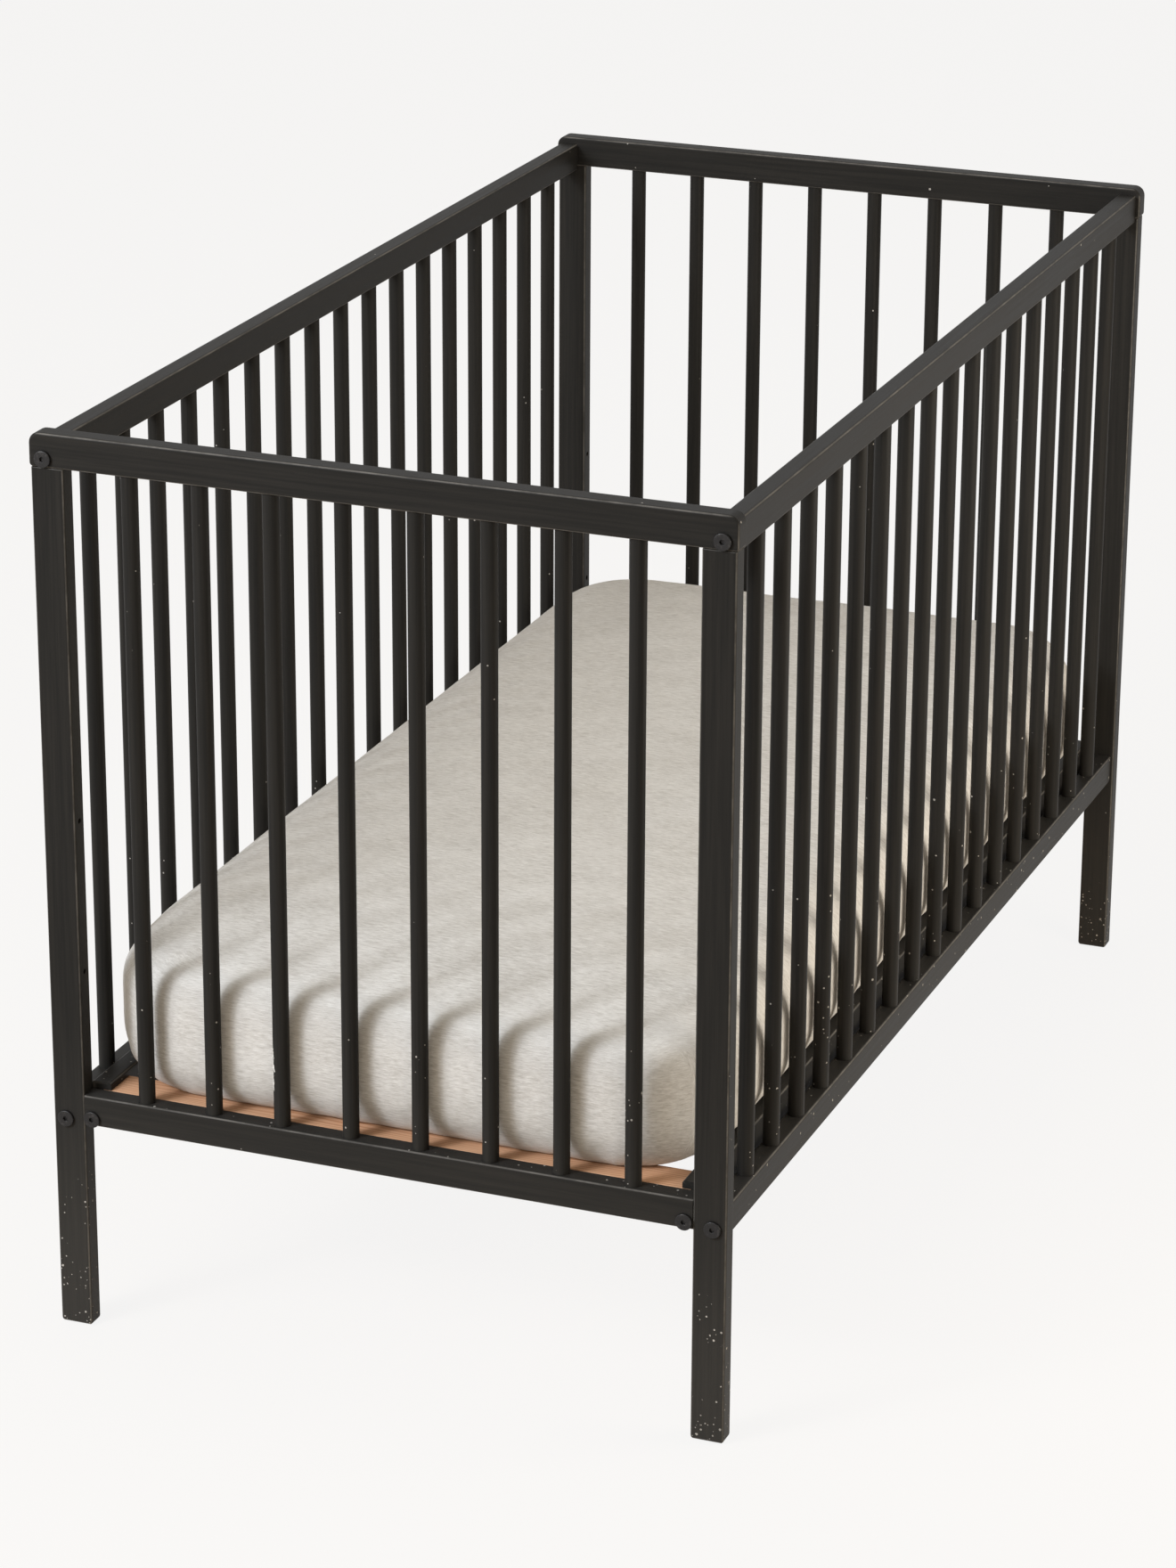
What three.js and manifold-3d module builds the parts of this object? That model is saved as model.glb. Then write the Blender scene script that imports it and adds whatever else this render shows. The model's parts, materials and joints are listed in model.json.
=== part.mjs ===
// A baby crib with fixed sides. Two ends of posts, rails and spindles carry two railed sides, and a slatted
// base that holds the mattress hangs between the ends. Millimetres, +Z up, with the origin on the floor
// under the middle of the crib: X runs along it, the foot end is at -X and the front side at -Y.
import * as THREE from "three";
import { mergeVertices } from "three/addons/utils/BufferGeometryUtils.js";
import Module from "manifold-3d";

const wasm = await Module();
wasm.setup();

// ---- Overall sizes ----
const cribLength = 1250; // over the outer faces of the two ends
const cribWidth = 650; // over the end top rails
const cribHeight = 850; // floor to the top of the ends

// ---- Posts ----
const postWidth = 31; // along Y
const postDepth = 19; // along X
const postEdge = 2.5; // rounding of the long edges
const footEdge = 4; // rounding around the foot
const postTopEdge = 1; // rounding around the top, under the rail
const postDowelDiameter = 8; // dowel that holds the end top rail on the post
const postDowelHeight = 15;

// ---- Rails of the ends ----
const endRailDepth = 20; // along X
const endTopRailHeight = 31;
const endTopRailOverhang = 1.5; // past the posts, each side
const endTopRailUpperCorner = 10;
const endTopRailLowerCorner = 3.5;
const endBottomRailHeight = 29;
const endBottomRailLift = 202.5; // floor to its underside

// ---- Rails of the sides ----
const sideRailThickness = 19; // along Y
const sideRailHeight = 29;
const sideRailSetback = 3; // outer face behind the outer faces of the posts
const sideTopRailDrop = 7; // its top below the top of the ends
const sideBottomRailLift = 195; // floor to its underside
const railEdge = 2.5; // rounding of the long edges of all rails

// ---- Spindles ----
const spindleDiameter = 15;
const spindleSocketDepth = 9; // how far a spindle goes into a rail
const sideSpindleCount = 17;
const endSpindleCount = 8;
const sideSpindleEndGap = 56.1; // clear gap from a post to the nearest spindle of a side
const endSpindleEndGap = 51.2; // and to the nearest spindle of an end

// ---- Joint bolts and their barrel nuts ----
const boltDiameter = 6;
const boltHeadDiameter = 15.5;
const boltHeadHeight = 2.8;
const boltHeadEdge = 0.7;
const boltSocketWidth = 4; // hexagon socket, across flats
const boltSocketDepth = 1.8;
const boltTail = 8; // shank past the axis of the nut
const nutDiameter = 10;
const nutLength = 18;
const nutDistance = 32; // from the end of the rail to the axis of the nut
const nutRecess = 1; // nut above the underside of the rail
const topBoltRise = 13; // bolt axis above the underside of a side top rail
const bottomBoltRise = 11.5; // bolt axis above the underside of a side bottom rail

// ---- Base ----
const baseRailThickness = 19;
const baseRailHeight = 38;
const baseRailLift = 200; // floor to its underside
const baseSideGap = 5; // least gap from a base rail to a side rail
const baseBoltRise = 9.5; // bolt axis above the underside of the base rail
const slatWidth = 38;
const slatThickness = 10;
const slatEdge = 1.5;
const slatDrop = 7.5; // top of the slats below the top of the base rails
const slatTongue = 8; // how far a slat goes into a base rail
const slatCount = 13;

// ---- Spare holes in the posts, for a base set higher ----
const spareHoleDiameter = 5;
const spareHoleDepth = 12;
const spareHoleHeight = 349; // floor to the lowest one
const spareHoleStep = 144;
const spareHoleCount = 2;

// ---- Mattress and fitted sheet ----
const mattressEndGap = 3.7; // from the sheet to the rails of the ends
const mattressSideGap = 2.2; // from the sheet to the spindles of the sides
const mattressThickness = 138; // at its edges
const mattressCrown = 12; // rise of the middle above the edges
const mattressCorner = 100; // in plan
const mattressUpperEdge = 58; // rounding along the upper edges
const mattressUpperEnd = 28; // how far that rounding reaches in from the ends
const mattressLowerEdge = 53; // rounding along the lower edges, which rest on the base rails at the sides
const mattressLowerEnd = 21; // how far that rounding reaches in from the ends
const sheetThickness = 1;
const sheetHem = 70; // turned in under the mattress

// ---- Clearances ----
const jointGap = 0.05; // glue line between faces that meet
const fitGap = 0.3; // around pins, tongues and bolts in their holes, and beside what moves

// ---- Fineness of the curves ----
const roundSides = 12;
const edgeSteps = 2; // around a rounded edge
const planSteps = 4; // around a corner of the mattress in plan
const leastCorner = 0.2; // radius left where a rounding has used up a corner
const cutPast = 1; // how far a cutting tool reaches past the face that it enters

// ---- Places that follow from the sizes ----
const endFace = cribLength / 2;
const endRailInnerFace = endFace - endRailDepth;
const postOuterFace = cribWidth / 2 - endTopRailOverhang;
const postInnerFace = postOuterFace - postWidth;
const postHeight = cribHeight - endTopRailHeight;
const sideRailPlane = postOuterFace - sideRailSetback - sideRailThickness / 2;
const sideTopRailLift = cribHeight - sideTopRailDrop - sideRailHeight;
const sideRailInnerFace = sideRailPlane - sideRailThickness / 2;
const baseRailPlane = Math.min(
  postInnerFace - boltHeadDiameter / 2,
  sideRailInnerFace - baseSideGap - baseRailThickness / 2,
);
const baseRailInnerFace = baseRailPlane - baseRailThickness / 2;
const baseRailTop = baseRailLift + baseRailHeight;
const baseRailLength = 2 * (endRailInnerFace - fitGap);

// ---- Materials ----
const blackStain = new THREE.MeshStandardMaterial({ color: 0x2c2a28, roughness: 0.45, metalness: 0 });
const blackSteel = new THREE.MeshStandardMaterial({ color: 0x1b1b1c, roughness: 0.4, metalness: 0.8 });
const paleWood = new THREE.MeshStandardMaterial({ color: 0xc9a98a, roughness: 0.7, metalness: 0 });
const ticking = new THREE.MeshStandardMaterial({ color: 0xe9e6df, roughness: 0.95, metalness: 0 });
const jersey = new THREE.MeshStandardMaterial({ color: 0xcfccc6, roughness: 0.95, metalness: 0 });

// ---- Solids ----

// A closed three.js geometry as a manifold solid.
function solidOf(geometry) {
  const bare = geometry.clone();
  bare.deleteAttribute("normal");
  bare.deleteAttribute("uv");
  const merged = mergeVertices(bare, 1e-4);
  return new wasm.Manifold(
    new wasm.Mesh({
      numProp: 3,
      vertProperties: merged.getAttribute("position").array,
      triVerts: new Uint32Array(merged.getIndex().array),
    }),
  );
}

// A manifold solid as a flat-shaded three.js geometry.
function geometryOf(solid) {
  const mesh = solid.getMesh();
  const indexed = new THREE.BufferGeometry();
  indexed.setAttribute("position", new THREE.BufferAttribute(mesh.vertProperties, 3));
  indexed.setIndex(new THREE.BufferAttribute(mesh.triVerts, 1));
  const geometry = indexed.toNonIndexed();
  geometry.computeVertexNormals();
  return geometry;
}

// The first geometry with some joined to it and others cut from it.
function carved(body, { joined = [], cut = [] }) {
  let solid = solidOf(body);
  for (const extra of joined) {
    solid = solid.add(solidOf(extra));
  }
  for (const tool of cut) {
    solid = solid.subtract(solidOf(tool));
  }
  return geometryOf(solid);
}

function namedMesh(name, geometry, material) {
  const mesh = new THREE.Mesh(geometry, material);
  mesh.name = name;
  return mesh;
}

// A round pin from start to end, both THREE.Vector3.
function pin(diameter, start, end) {
  const way = end.clone().sub(start);
  const geometry = new THREE.CylinderGeometry(diameter / 2, diameter / 2, way.length(), roundSides);
  const turn = new THREE.Quaternion().setFromUnitVectors(new THREE.Vector3(0, 1, 0), way.normalize());
  geometry.applyQuaternion(turn);
  const middle = start.clone().add(end).multiplyScalar(0.5);
  return geometry.translate(middle.x, middle.y, middle.z);
}

const at = (x, y, z) => new THREE.Vector3(x, y, z);

// A rectangle about the origin with its upper and lower corners rounded.
function roundedRectangle(width, height, upperCorner, lowerCorner = upperCorner) {
  const upper = Math.min(upperCorner, width / 2, height / 2);
  const lower = Math.min(lowerCorner, width / 2, height / 2);
  const shape = new THREE.Shape();
  shape.absarc(width / 2 - upper, height / 2 - upper, upper, 0, Math.PI / 2);
  shape.absarc(upper - width / 2, height / 2 - upper, upper, Math.PI / 2, Math.PI);
  shape.absarc(lower - width / 2, lower - height / 2, lower, Math.PI, Math.PI * 1.5);
  shape.absarc(width / 2 - lower, lower - height / 2, lower, Math.PI * 1.5, Math.PI * 2);
  return shape;
}

// A straight rail about the origin, along X or along Y, with its long edges rounded. A shape draws each arc
// with twice as many steps as its curve segments.
function railBar(length, thickness, height, edge, alongX) {
  const section = roundedRectangle(thickness, height, edge);
  const geometry = new THREE.ExtrudeGeometry(section, {
    depth: length,
    bevelEnabled: false,
    curveSegments: edgeSteps / 2,
  });
  geometry.translate(0, 0, -length / 2);
  geometry.rotateX(Math.PI / 2);
  return alongX ? geometry.rotateZ(Math.PI / 2) : geometry;
}

// Heights and insets up a quarter round of the given radius, from the flat to the upright.
function quarterRound(radius, steps = edgeSteps) {
  return Array.from({ length: steps + 1 }, (_, step) => {
    const angle = (Math.PI / 2) * (step / steps);
    return { inset: radius * (1 - Math.sin(angle)), rise: radius * (1 - Math.cos(angle)) };
  });
}

// One closed skin over a stack of rounded rectangles. Each level holds its inset from the full width, its
// inset from the full length where that differs, and its height z. The ends of the stack are flat, and each
// corner is drawn in the given steps.
function stack(length, width, corner, levels, steps) {
  const around = 4 * (steps + 1);
  const positions = [];
  for (const { inset, endInset = inset, z } of levels) {
    const radius = Math.max(corner - inset, leastCorner);
    for (let i = 0; i < around; i++) {
      const quarter = Math.floor(i / (steps + 1));
      const angle = (Math.PI / 2) * (quarter + (i % (steps + 1)) / steps);
      const sideX = quarter === 0 || quarter === 3 ? 1 : -1;
      const sideY = quarter < 2 ? 1 : -1;
      positions.push(
        sideX * (length / 2 - endInset - radius) + radius * Math.cos(angle),
        sideY * (width / 2 - inset - radius) + radius * Math.sin(angle),
        z,
      );
    }
  }
  const indices = [];
  for (let level = 0; level + 1 < levels.length; level++) {
    for (let i = 0; i < around; i++) {
      const [a, b] = [level * around + i, level * around + ((i + 1) % around)];
      indices.push(a, b, b + around, a, b + around, a + around);
    }
  }
  const last = (levels.length - 1) * around;
  for (let i = 1; i + 1 < around; i++) {
    indices.push(0, i + 1, i, last, last + i, last + i + 1);
  }
  const geometry = new THREE.BufferGeometry();
  geometry.setAttribute("position", new THREE.Float32BufferAttribute(positions, 3));
  geometry.setIndex(indices);
  return geometry.toNonIndexed();
}

// Places of a number of equal pieces set evenly about 0, a span apart from the first to the last.
function evenPlaces(count, span) {
  const pitch = span / (count - 1);
  return Array.from({ length: count }, (_, i) => (i - (count - 1) / 2) * pitch);
}

const sideSpindleSpan = 2 * (endFace - postDepth - sideSpindleEndGap) - spindleDiameter;
const endSpindleSpan = 2 * (postInnerFace - endSpindleEndGap) - spindleDiameter;
const sideSpindlePlaces = evenPlaces(sideSpindleCount, sideSpindleSpan);
const endSpindlePlaces = evenPlaces(endSpindleCount, endSpindleSpan);
const slatPlaces = evenPlaces(slatCount, baseRailLength - slatWidth);

// ---- Bolts ----

// A joint bolt along +X with its head at -X. Given the rise of its axis above the underside of the rail that
// it draws tight, it ends in that rail's barrel nut, which hangs on it across the shank.
function boltGeometry(throughDepth, rise) {
  const shank = rise === undefined ? throughDepth : throughDepth + nutDistance + boltTail;
  const headRadius = boltHeadDiameter / 2;
  const profile = [
    [0, -boltHeadHeight],
    [headRadius - boltHeadEdge, -boltHeadHeight],
    [headRadius, boltHeadEdge - boltHeadHeight],
    [headRadius, 0],
    [boltDiameter / 2, 0],
    [boltDiameter / 2, shank],
    [0, shank],
  ].map(([radius, x]) => new THREE.Vector2(radius, x));
  const body = new THREE.LatheGeometry(profile, roundSides).rotateZ(-Math.PI / 2);
  const socketRadius = boltSocketWidth / Math.sqrt(3);
  const socket = new THREE.CylinderGeometry(socketRadius, socketRadius, 2 * boltSocketDepth, 6);
  socket.rotateZ(Math.PI / 2).translate(-boltHeadHeight, 0, 0);
  const joined = [];
  if (rise !== undefined) {
    const nutFoot = at(throughDepth + nutDistance, 0, nutRecess - rise);
    joined.push(pin(nutDiameter, nutFoot, nutFoot.clone().setZ(nutFoot.z + nutLength)));
  }
  return carved(body, { joined, cut: [socket] });
}

// The hole for a bolt that goes into the -X end of a rail, and the hole for its nut from below. The end of
// the rail is at x, and its underside at z.
function boltHoles(x, z, rise) {
  const axis = z + rise;
  const nutAxis = x + nutDistance;
  const holeEnd = nutAxis + boltTail + fitGap;
  const nutTop = z + nutRecess + nutLength + fitGap;
  return [
    pin(boltDiameter + 2 * fitGap, at(x - cutPast, 0, axis), at(holeEnd, 0, axis)),
    pin(nutDiameter + 2 * fitGap, at(nutAxis, 0, z - cutPast), at(nutAxis, 0, nutTop)),
  ];
}

// The same holes at both ends of a rail.
function boltHolesAtBothEnds(length, z, rise) {
  const holes = boltHoles(-length / 2, z, rise);
  return [...holes, ...holes.map((hole) => hole.clone().rotateZ(Math.PI))];
}

// ---- Ends ----

const sideBolts = [
  { level: "top", z: sideTopRailLift + topBoltRise, through: endRailDepth, rise: topBoltRise },
  { level: "bottom", z: sideBottomRailLift + bottomBoltRise, through: postDepth, rise: bottomBoltRise },
];
const baseBoltHeight = baseRailLift + baseBoltRise;

// From the middle of the post: the bolt stands outboard, and the dowel midway from it to the inner face.
const postPlane = postInnerFace + postWidth / 2;
const boltOnPost = sideRailPlane - postPlane;
const dowelOnPost = (boltOnPost - boltDiameter / 2 - fitGap - postWidth / 2) / 2;

// A post on the floor at the origin, with its inner face towards +Y.
function postGeometry() {
  const postTop = postHeight - jointGap;
  const foot = quarterRound(footEdge).map(({ inset, rise }) => ({ inset, z: rise }));
  const top = quarterRound(postTopEdge, 1).map(({ inset, rise }) => ({ inset, z: postTop - rise }));
  const body = stack(postDepth, postWidth, postEdge, [...foot, ...top.reverse()], edgeSteps);
  const dowel = pin(
    postDowelDiameter,
    at(0, -dowelOnPost, postHeight / 2),
    at(0, -dowelOnPost, postHeight + postDowelHeight),
  );
  const bolt = sideBolts.find(({ level }) => level === "bottom");
  const boltHole = pin(
    boltDiameter + 2 * fitGap,
    at(-postDepth, -boltOnPost, bolt.z),
    at(postDepth, -boltOnPost, bolt.z),
  );
  const spareHoles = Array.from({ length: spareHoleCount }, (_, i) => {
    const mouth = at(0, postWidth / 2, spareHoleHeight + i * spareHoleStep);
    const bottom = mouth.clone().setY(mouth.y - spareHoleDepth);
    return pin(spareHoleDiameter, bottom, mouth.clone().setY(mouth.y + cutPast));
  });
  return carved(body, { joined: [dowel], cut: [boltHole, ...spareHoles] });
}

// The blind holes of the end spindles in a rail, from the face at z up or down.
function endSpindleHoles(z, up) {
  const depth = spindleSocketDepth + fitGap;
  return endSpindlePlaces.map((y) =>
    pin(spindleDiameter + 2 * fitGap, at(0, y, z - up * cutPast), at(0, y, z + up * depth)),
  );
}

// The end top rail lies across both posts. Its middle is at the origin.
function endTopRailGeometry() {
  const { through, z } = sideBolts.find(({ level }) => level === "top");
  const outline = roundedRectangle(
    cribWidth - 2 * railEdge,
    endTopRailHeight - 2 * railEdge,
    endTopRailUpperCorner - railEdge,
    endTopRailLowerCorner - railEdge,
  );
  const body = new THREE.ExtrudeGeometry(outline, {
    depth: endRailDepth - 2 * railEdge,
    bevelThickness: railEdge,
    bevelSize: railEdge,
    bevelSegments: edgeSteps,
    curveSegments: edgeSteps,
  });
  body.translate(0, 0, railEdge - endRailDepth / 2).rotateX(Math.PI / 2).rotateZ(Math.PI / 2);
  const underside = -endTopRailHeight / 2;
  const boltHeight = z - cribHeight - underside;
  const cut = endSpindleHoles(underside, 1);
  const dowelDepth = (postDepth - endRailDepth) / 2;
  for (const side of [-1, 1]) {
    const boltPlane = side * sideRailPlane;
    const dowelPlane = side * (postPlane + dowelOnPost);
    cut.push(
      pin(boltDiameter + 2 * fitGap, at(-through, boltPlane, boltHeight), at(through, boltPlane, boltHeight)),
      pin(
        postDowelDiameter + 2 * fitGap,
        at(dowelDepth, dowelPlane, underside - cutPast),
        at(dowelDepth, dowelPlane, underside + postDowelHeight + fitGap),
      ),
    );
  }
  return carved(body, { cut });
}

// The end bottom rail stands between the posts. Its middle is at the origin.
function endBottomRailGeometry() {
  const length = 2 * (postInnerFace - jointGap);
  const body = railBar(length, endRailDepth, endBottomRailHeight, railEdge, false);
  const boltHeight = baseBoltHeight - endBottomRailLift - endBottomRailHeight / 2;
  const boltHoles = [-baseRailPlane, baseRailPlane].map((y) =>
    pin(boltDiameter + 2 * fitGap, at(-endRailDepth, y, boltHeight), at(endRailDepth, y, boltHeight)),
  );
  return carved(body, { cut: [...boltHoles, ...endSpindleHoles(endBottomRailHeight / 2, -1)] });
}

// A whole end in the plane at -X, and turned about Z for the other end.
function makeEnd(name, turn) {
  const group = new THREE.Group();
  const railPlane = endRailDepth / 2 - endFace;
  const topRail = namedMesh(`${name}_top_rail`, endTopRailGeometry(), blackStain);
  topRail.position.set(railPlane, 0, cribHeight - endTopRailHeight / 2);
  const bottomRail = namedMesh(`${name}_bottom_rail`, endBottomRailGeometry(), blackStain);
  bottomRail.position.set(railPlane, 0, endBottomRailLift + endBottomRailHeight / 2);
  group.add(topRail, bottomRail);

  const bottomFace = endBottomRailLift + endBottomRailHeight;
  const spindle = pin(
    spindleDiameter,
    at(0, 0, bottomFace - spindleSocketDepth),
    at(0, 0, postHeight + spindleSocketDepth),
  );
  for (const [i, y] of endSpindlePlaces.entries()) {
    const mesh = namedMesh(`${name}_spindle_${i + 1}`, spindle, blackStain);
    mesh.position.set(railPlane, y, 0);
    group.add(mesh);
  }

  const post = postGeometry();
  for (const side of [-1, 1]) {
    const sideName = side * Math.cos(turn) < 0 ? "front" : "back";
    const postMesh = namedMesh(`${name}_${sideName}_post`, post, blackStain);
    postMesh.position.set(postDepth / 2 - endFace, side * postPlane, 0);
    postMesh.rotation.z = side < 0 ? 0 : Math.PI;
    group.add(postMesh);
    for (const { level, z, through, rise } of sideBolts) {
      const bolt = namedMesh(`${name}_${sideName}_${level}_bolt`, boltGeometry(through, rise), blackSteel);
      bolt.position.set(-endFace, side * sideRailPlane, z);
      group.add(bolt);
    }
    const baseBolt = namedMesh(`${name}_${sideName}_base_bolt`, boltGeometry(endRailDepth), blackSteel);
    baseBolt.position.set(-endFace, side * baseRailPlane, baseBoltHeight);
    group.add(baseBolt);
  }
  group.rotation.z = turn;
  return group;
}

// ---- Sides ----

// A side top rail between the ends, with blind holes for the tops of the spindles. Its underside is at z = 0.
function sideTopRailGeometry() {
  const length = 2 * (endRailInnerFace - jointGap);
  const body = railBar(length, sideRailThickness, sideRailHeight, railEdge, true);
  body.translate(0, 0, sideRailHeight / 2);
  const spindleHoles = sideSpindlePlaces.map((x) =>
    pin(spindleDiameter + 2 * fitGap, at(x, 0, -cutPast), at(x, 0, spindleSocketDepth + fitGap)),
  );
  return carved(body, { cut: [...spindleHoles, ...boltHolesAtBothEnds(length, 0, topBoltRise)] });
}

// A side bottom rail between the posts, in one with its row of spindles. Its underside is at z = 0.
function sideRailingGeometry() {
  const length = 2 * (endFace - postDepth - jointGap);
  const body = railBar(length, sideRailThickness, sideRailHeight, railEdge, true);
  body.translate(0, 0, sideRailHeight / 2);
  const spindleTop = sideTopRailLift + spindleSocketDepth - sideBottomRailLift;
  const spindles = sideSpindlePlaces.map((x) =>
    pin(spindleDiameter, at(x, 0, sideRailHeight - spindleSocketDepth), at(x, 0, spindleTop)),
  );
  return carved(body, { joined: spindles, cut: boltHolesAtBothEnds(length, 0, bottomBoltRise) });
}

// A whole side in the plane at -Y, and turned about Z for the other side.
function makeSide(name, turn) {
  const group = new THREE.Group();
  const topRail = namedMesh(`${name}_top_rail`, sideTopRailGeometry(), blackStain);
  topRail.position.set(0, -sideRailPlane, sideTopRailLift);
  const railing = namedMesh(`${name}_railing`, sideRailingGeometry(), blackStain);
  railing.position.set(0, -sideRailPlane, sideBottomRailLift);
  group.add(topRail, railing);
  group.rotation.z = turn;
  return group;
}

// ---- Base ----

// The front rail of the base with its inner face towards +Y, a mortise for each slat and a hole in each end
// for the bolt. Its underside is at z = 0.
function baseRailGeometry() {
  const body = railBar(baseRailLength, baseRailThickness, baseRailHeight, railEdge, true);
  body.translate(0, 0, baseRailHeight / 2);
  const slatMiddle = baseRailHeight - slatDrop - slatThickness / 2;
  const mortises = slatPlaces.map((x) =>
    new THREE.BoxGeometry(
      slatWidth + 2 * fitGap,
      2 * (slatTongue + fitGap),
      slatThickness + 2 * fitGap,
    ).translate(x, baseRailThickness / 2, slatMiddle),
  );
  const boltHole = pin(
    boltDiameter + 2 * fitGap,
    at(-baseRailLength / 2 - cutPast, 0, baseBoltRise),
    at(nutDistance + boltTail - baseRailLength / 2, 0, baseBoltRise),
  );
  return carved(body, { cut: [...mortises, boltHole, boltHole.clone().rotateZ(Math.PI)] });
}

function makeBase() {
  const group = new THREE.Group();
  const rail = baseRailGeometry();
  for (const [name, side] of [
    ["front", -1],
    ["back", 1],
  ]) {
    const mesh = namedMesh(`base_${name}_rail`, rail, blackStain);
    mesh.position.set(0, side * baseRailPlane, baseRailLift);
    mesh.rotation.z = side < 0 ? 0 : Math.PI;
    group.add(mesh);
  }
  const slatLength = 2 * (baseRailInnerFace + slatTongue);
  const slat = railBar(slatLength, slatWidth, slatThickness, slatEdge, false);
  for (const [i, x] of slatPlaces.entries()) {
    const mesh = namedMesh(`base_slat_${i + 1}`, slat, paleWood);
    mesh.position.set(x, 0, baseRailTop - slatDrop - slatThickness / 2);
    group.add(mesh);
  }
  return group;
}

// ---- Bedding ----

// The crown's rise, as shares of the way in from the rounded edge and of the whole rise.
const crownSlope = [
  { inward: 0.25, risen: 0.55 },
  { inward: 0.6, risen: 0.9 },
  { inward: 0.85, risen: 1 },
];
const sheetSpace = fitGap + sheetThickness; // from the mattress to the outside of the sheet
const mattressLength = 2 * (endRailInnerFace - mattressEndGap - sheetSpace);
const mattressWidth = 2 * (sideRailPlane - spindleDiameter / 2 - mattressSideGap - sheetSpace);

// The mattress lies on the slats, and its sheet's lower rounding clears the inner edges of the base rails.
const slatTop = baseRailTop - slatDrop;
const edgeRadius = mattressLowerEdge + sheetSpace;
const overRail = Math.max(0, edgeRadius - (mattressWidth / 2 + sheetSpace - baseRailInnerFace));
const edgeOverRail = edgeRadius - Math.sqrt(edgeRadius ** 2 - overRail ** 2);
const beddingLift = Math.max(slatTop, baseRailTop - edgeOverRail) + fitGap;

// Levels of a skin that lies a distance outside the mattress, from a hem turned in below to the middle of the
// crown. The mattress's underside is at z = 0.
function beddingLevels(offset) {
  const rounded = (edge, end) =>
    quarterRound(1, planSteps).map(({ inset, rise }) => ({
      inset: inset * (edge + offset) - offset,
      endInset: inset * (end + offset) - offset,
      rise: rise * (edge + offset) - offset,
    }));
  const lower = rounded(mattressLowerEdge, mattressLowerEnd).map((level) => ({ ...level, z: level.rise }));
  const upper = rounded(mattressUpperEdge, mattressUpperEnd)
    .map((level) => ({ ...level, z: mattressThickness - level.rise }))
    .reverse();
  const flatWidth = mattressWidth / 2 - mattressUpperEdge;
  const crown = crownSlope.map(({ inward, risen }) => ({
    inset: mattressUpperEdge + inward * flatWidth,
    endInset: mattressUpperEnd + inward * flatWidth,
    z: mattressThickness + offset + risen * mattressCrown,
  }));
  return [{ inset: sheetHem, z: -offset }, ...lower, ...upper, ...crown];
}

function makeBedding() {
  const group = new THREE.Group();
  const core = stack(mattressLength, mattressWidth, mattressCorner, beddingLevels(0), planSteps);
  const inside = beddingLevels(fitGap).reverse();
  const outside = beddingLevels(sheetSpace);
  const skin = stack(mattressLength, mattressWidth, mattressCorner, [...inside, ...outside], planSteps);
  group.add(namedMesh("mattress", core, ticking), namedMesh("fitted_sheet", skin, jersey));
  group.position.z = beddingLift + sheetSpace;
  return group;
}

// ---- The whole crib ----

const crib = new THREE.Group();
crib.add(
  makeEnd("foot", 0),
  makeEnd("head", Math.PI),
  makeSide("front", 0),
  makeSide("back", Math.PI),
  makeBase(),
  makeBedding(),
);

export default crib;
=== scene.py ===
"""Dresses a packed baby crib: black stained wood, joint bolts, pale slats, a mattress and its fitted sheet.

Lengths are in metres and +Z is up. X runs along the crib with the foot end at -X, and the front side is at
-Y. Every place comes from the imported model's own nodes.
"""

from __future__ import annotations

import json
import logging
import math
from collections.abc import Iterable, Sequence
from dataclasses import dataclass, replace
from enum import Enum
from itertools import product

import bmesh
import bpy
import numpy as np
from mathutils import Matrix, Vector, noise

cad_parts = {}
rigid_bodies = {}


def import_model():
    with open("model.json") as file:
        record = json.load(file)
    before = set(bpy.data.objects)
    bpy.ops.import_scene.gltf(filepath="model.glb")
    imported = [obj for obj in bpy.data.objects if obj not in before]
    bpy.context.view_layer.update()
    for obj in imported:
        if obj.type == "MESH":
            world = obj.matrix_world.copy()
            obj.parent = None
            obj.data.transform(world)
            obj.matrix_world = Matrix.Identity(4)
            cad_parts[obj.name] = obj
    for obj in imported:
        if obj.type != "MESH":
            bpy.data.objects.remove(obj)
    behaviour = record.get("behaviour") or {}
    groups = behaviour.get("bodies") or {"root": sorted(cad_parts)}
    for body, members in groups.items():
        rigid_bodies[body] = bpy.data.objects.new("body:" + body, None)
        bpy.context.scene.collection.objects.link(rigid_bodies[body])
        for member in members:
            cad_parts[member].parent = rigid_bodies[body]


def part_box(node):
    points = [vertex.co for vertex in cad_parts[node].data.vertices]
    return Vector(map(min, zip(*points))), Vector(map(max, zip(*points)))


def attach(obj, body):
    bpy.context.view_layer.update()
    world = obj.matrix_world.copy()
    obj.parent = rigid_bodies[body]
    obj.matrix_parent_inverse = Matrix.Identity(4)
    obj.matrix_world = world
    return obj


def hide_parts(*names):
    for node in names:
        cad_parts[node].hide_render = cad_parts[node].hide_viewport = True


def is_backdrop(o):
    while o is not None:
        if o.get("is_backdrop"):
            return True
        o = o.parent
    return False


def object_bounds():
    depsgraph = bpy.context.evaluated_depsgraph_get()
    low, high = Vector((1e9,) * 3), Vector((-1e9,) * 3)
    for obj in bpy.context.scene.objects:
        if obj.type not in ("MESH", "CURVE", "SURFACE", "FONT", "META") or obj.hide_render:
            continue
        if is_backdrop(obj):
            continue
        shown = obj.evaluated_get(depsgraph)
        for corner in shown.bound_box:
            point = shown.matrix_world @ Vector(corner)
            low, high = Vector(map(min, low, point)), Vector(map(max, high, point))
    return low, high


log = logging.getLogger("crib")
Object = bpy.types.Object
Material = bpy.types.Material
Colour = tuple[float, float, float]
Point = tuple[float, float, float]
WHOLE_TURN = 2 * math.pi
HAIR = 0.001  # how far a cutting tool reaches past the face that it enters
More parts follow.
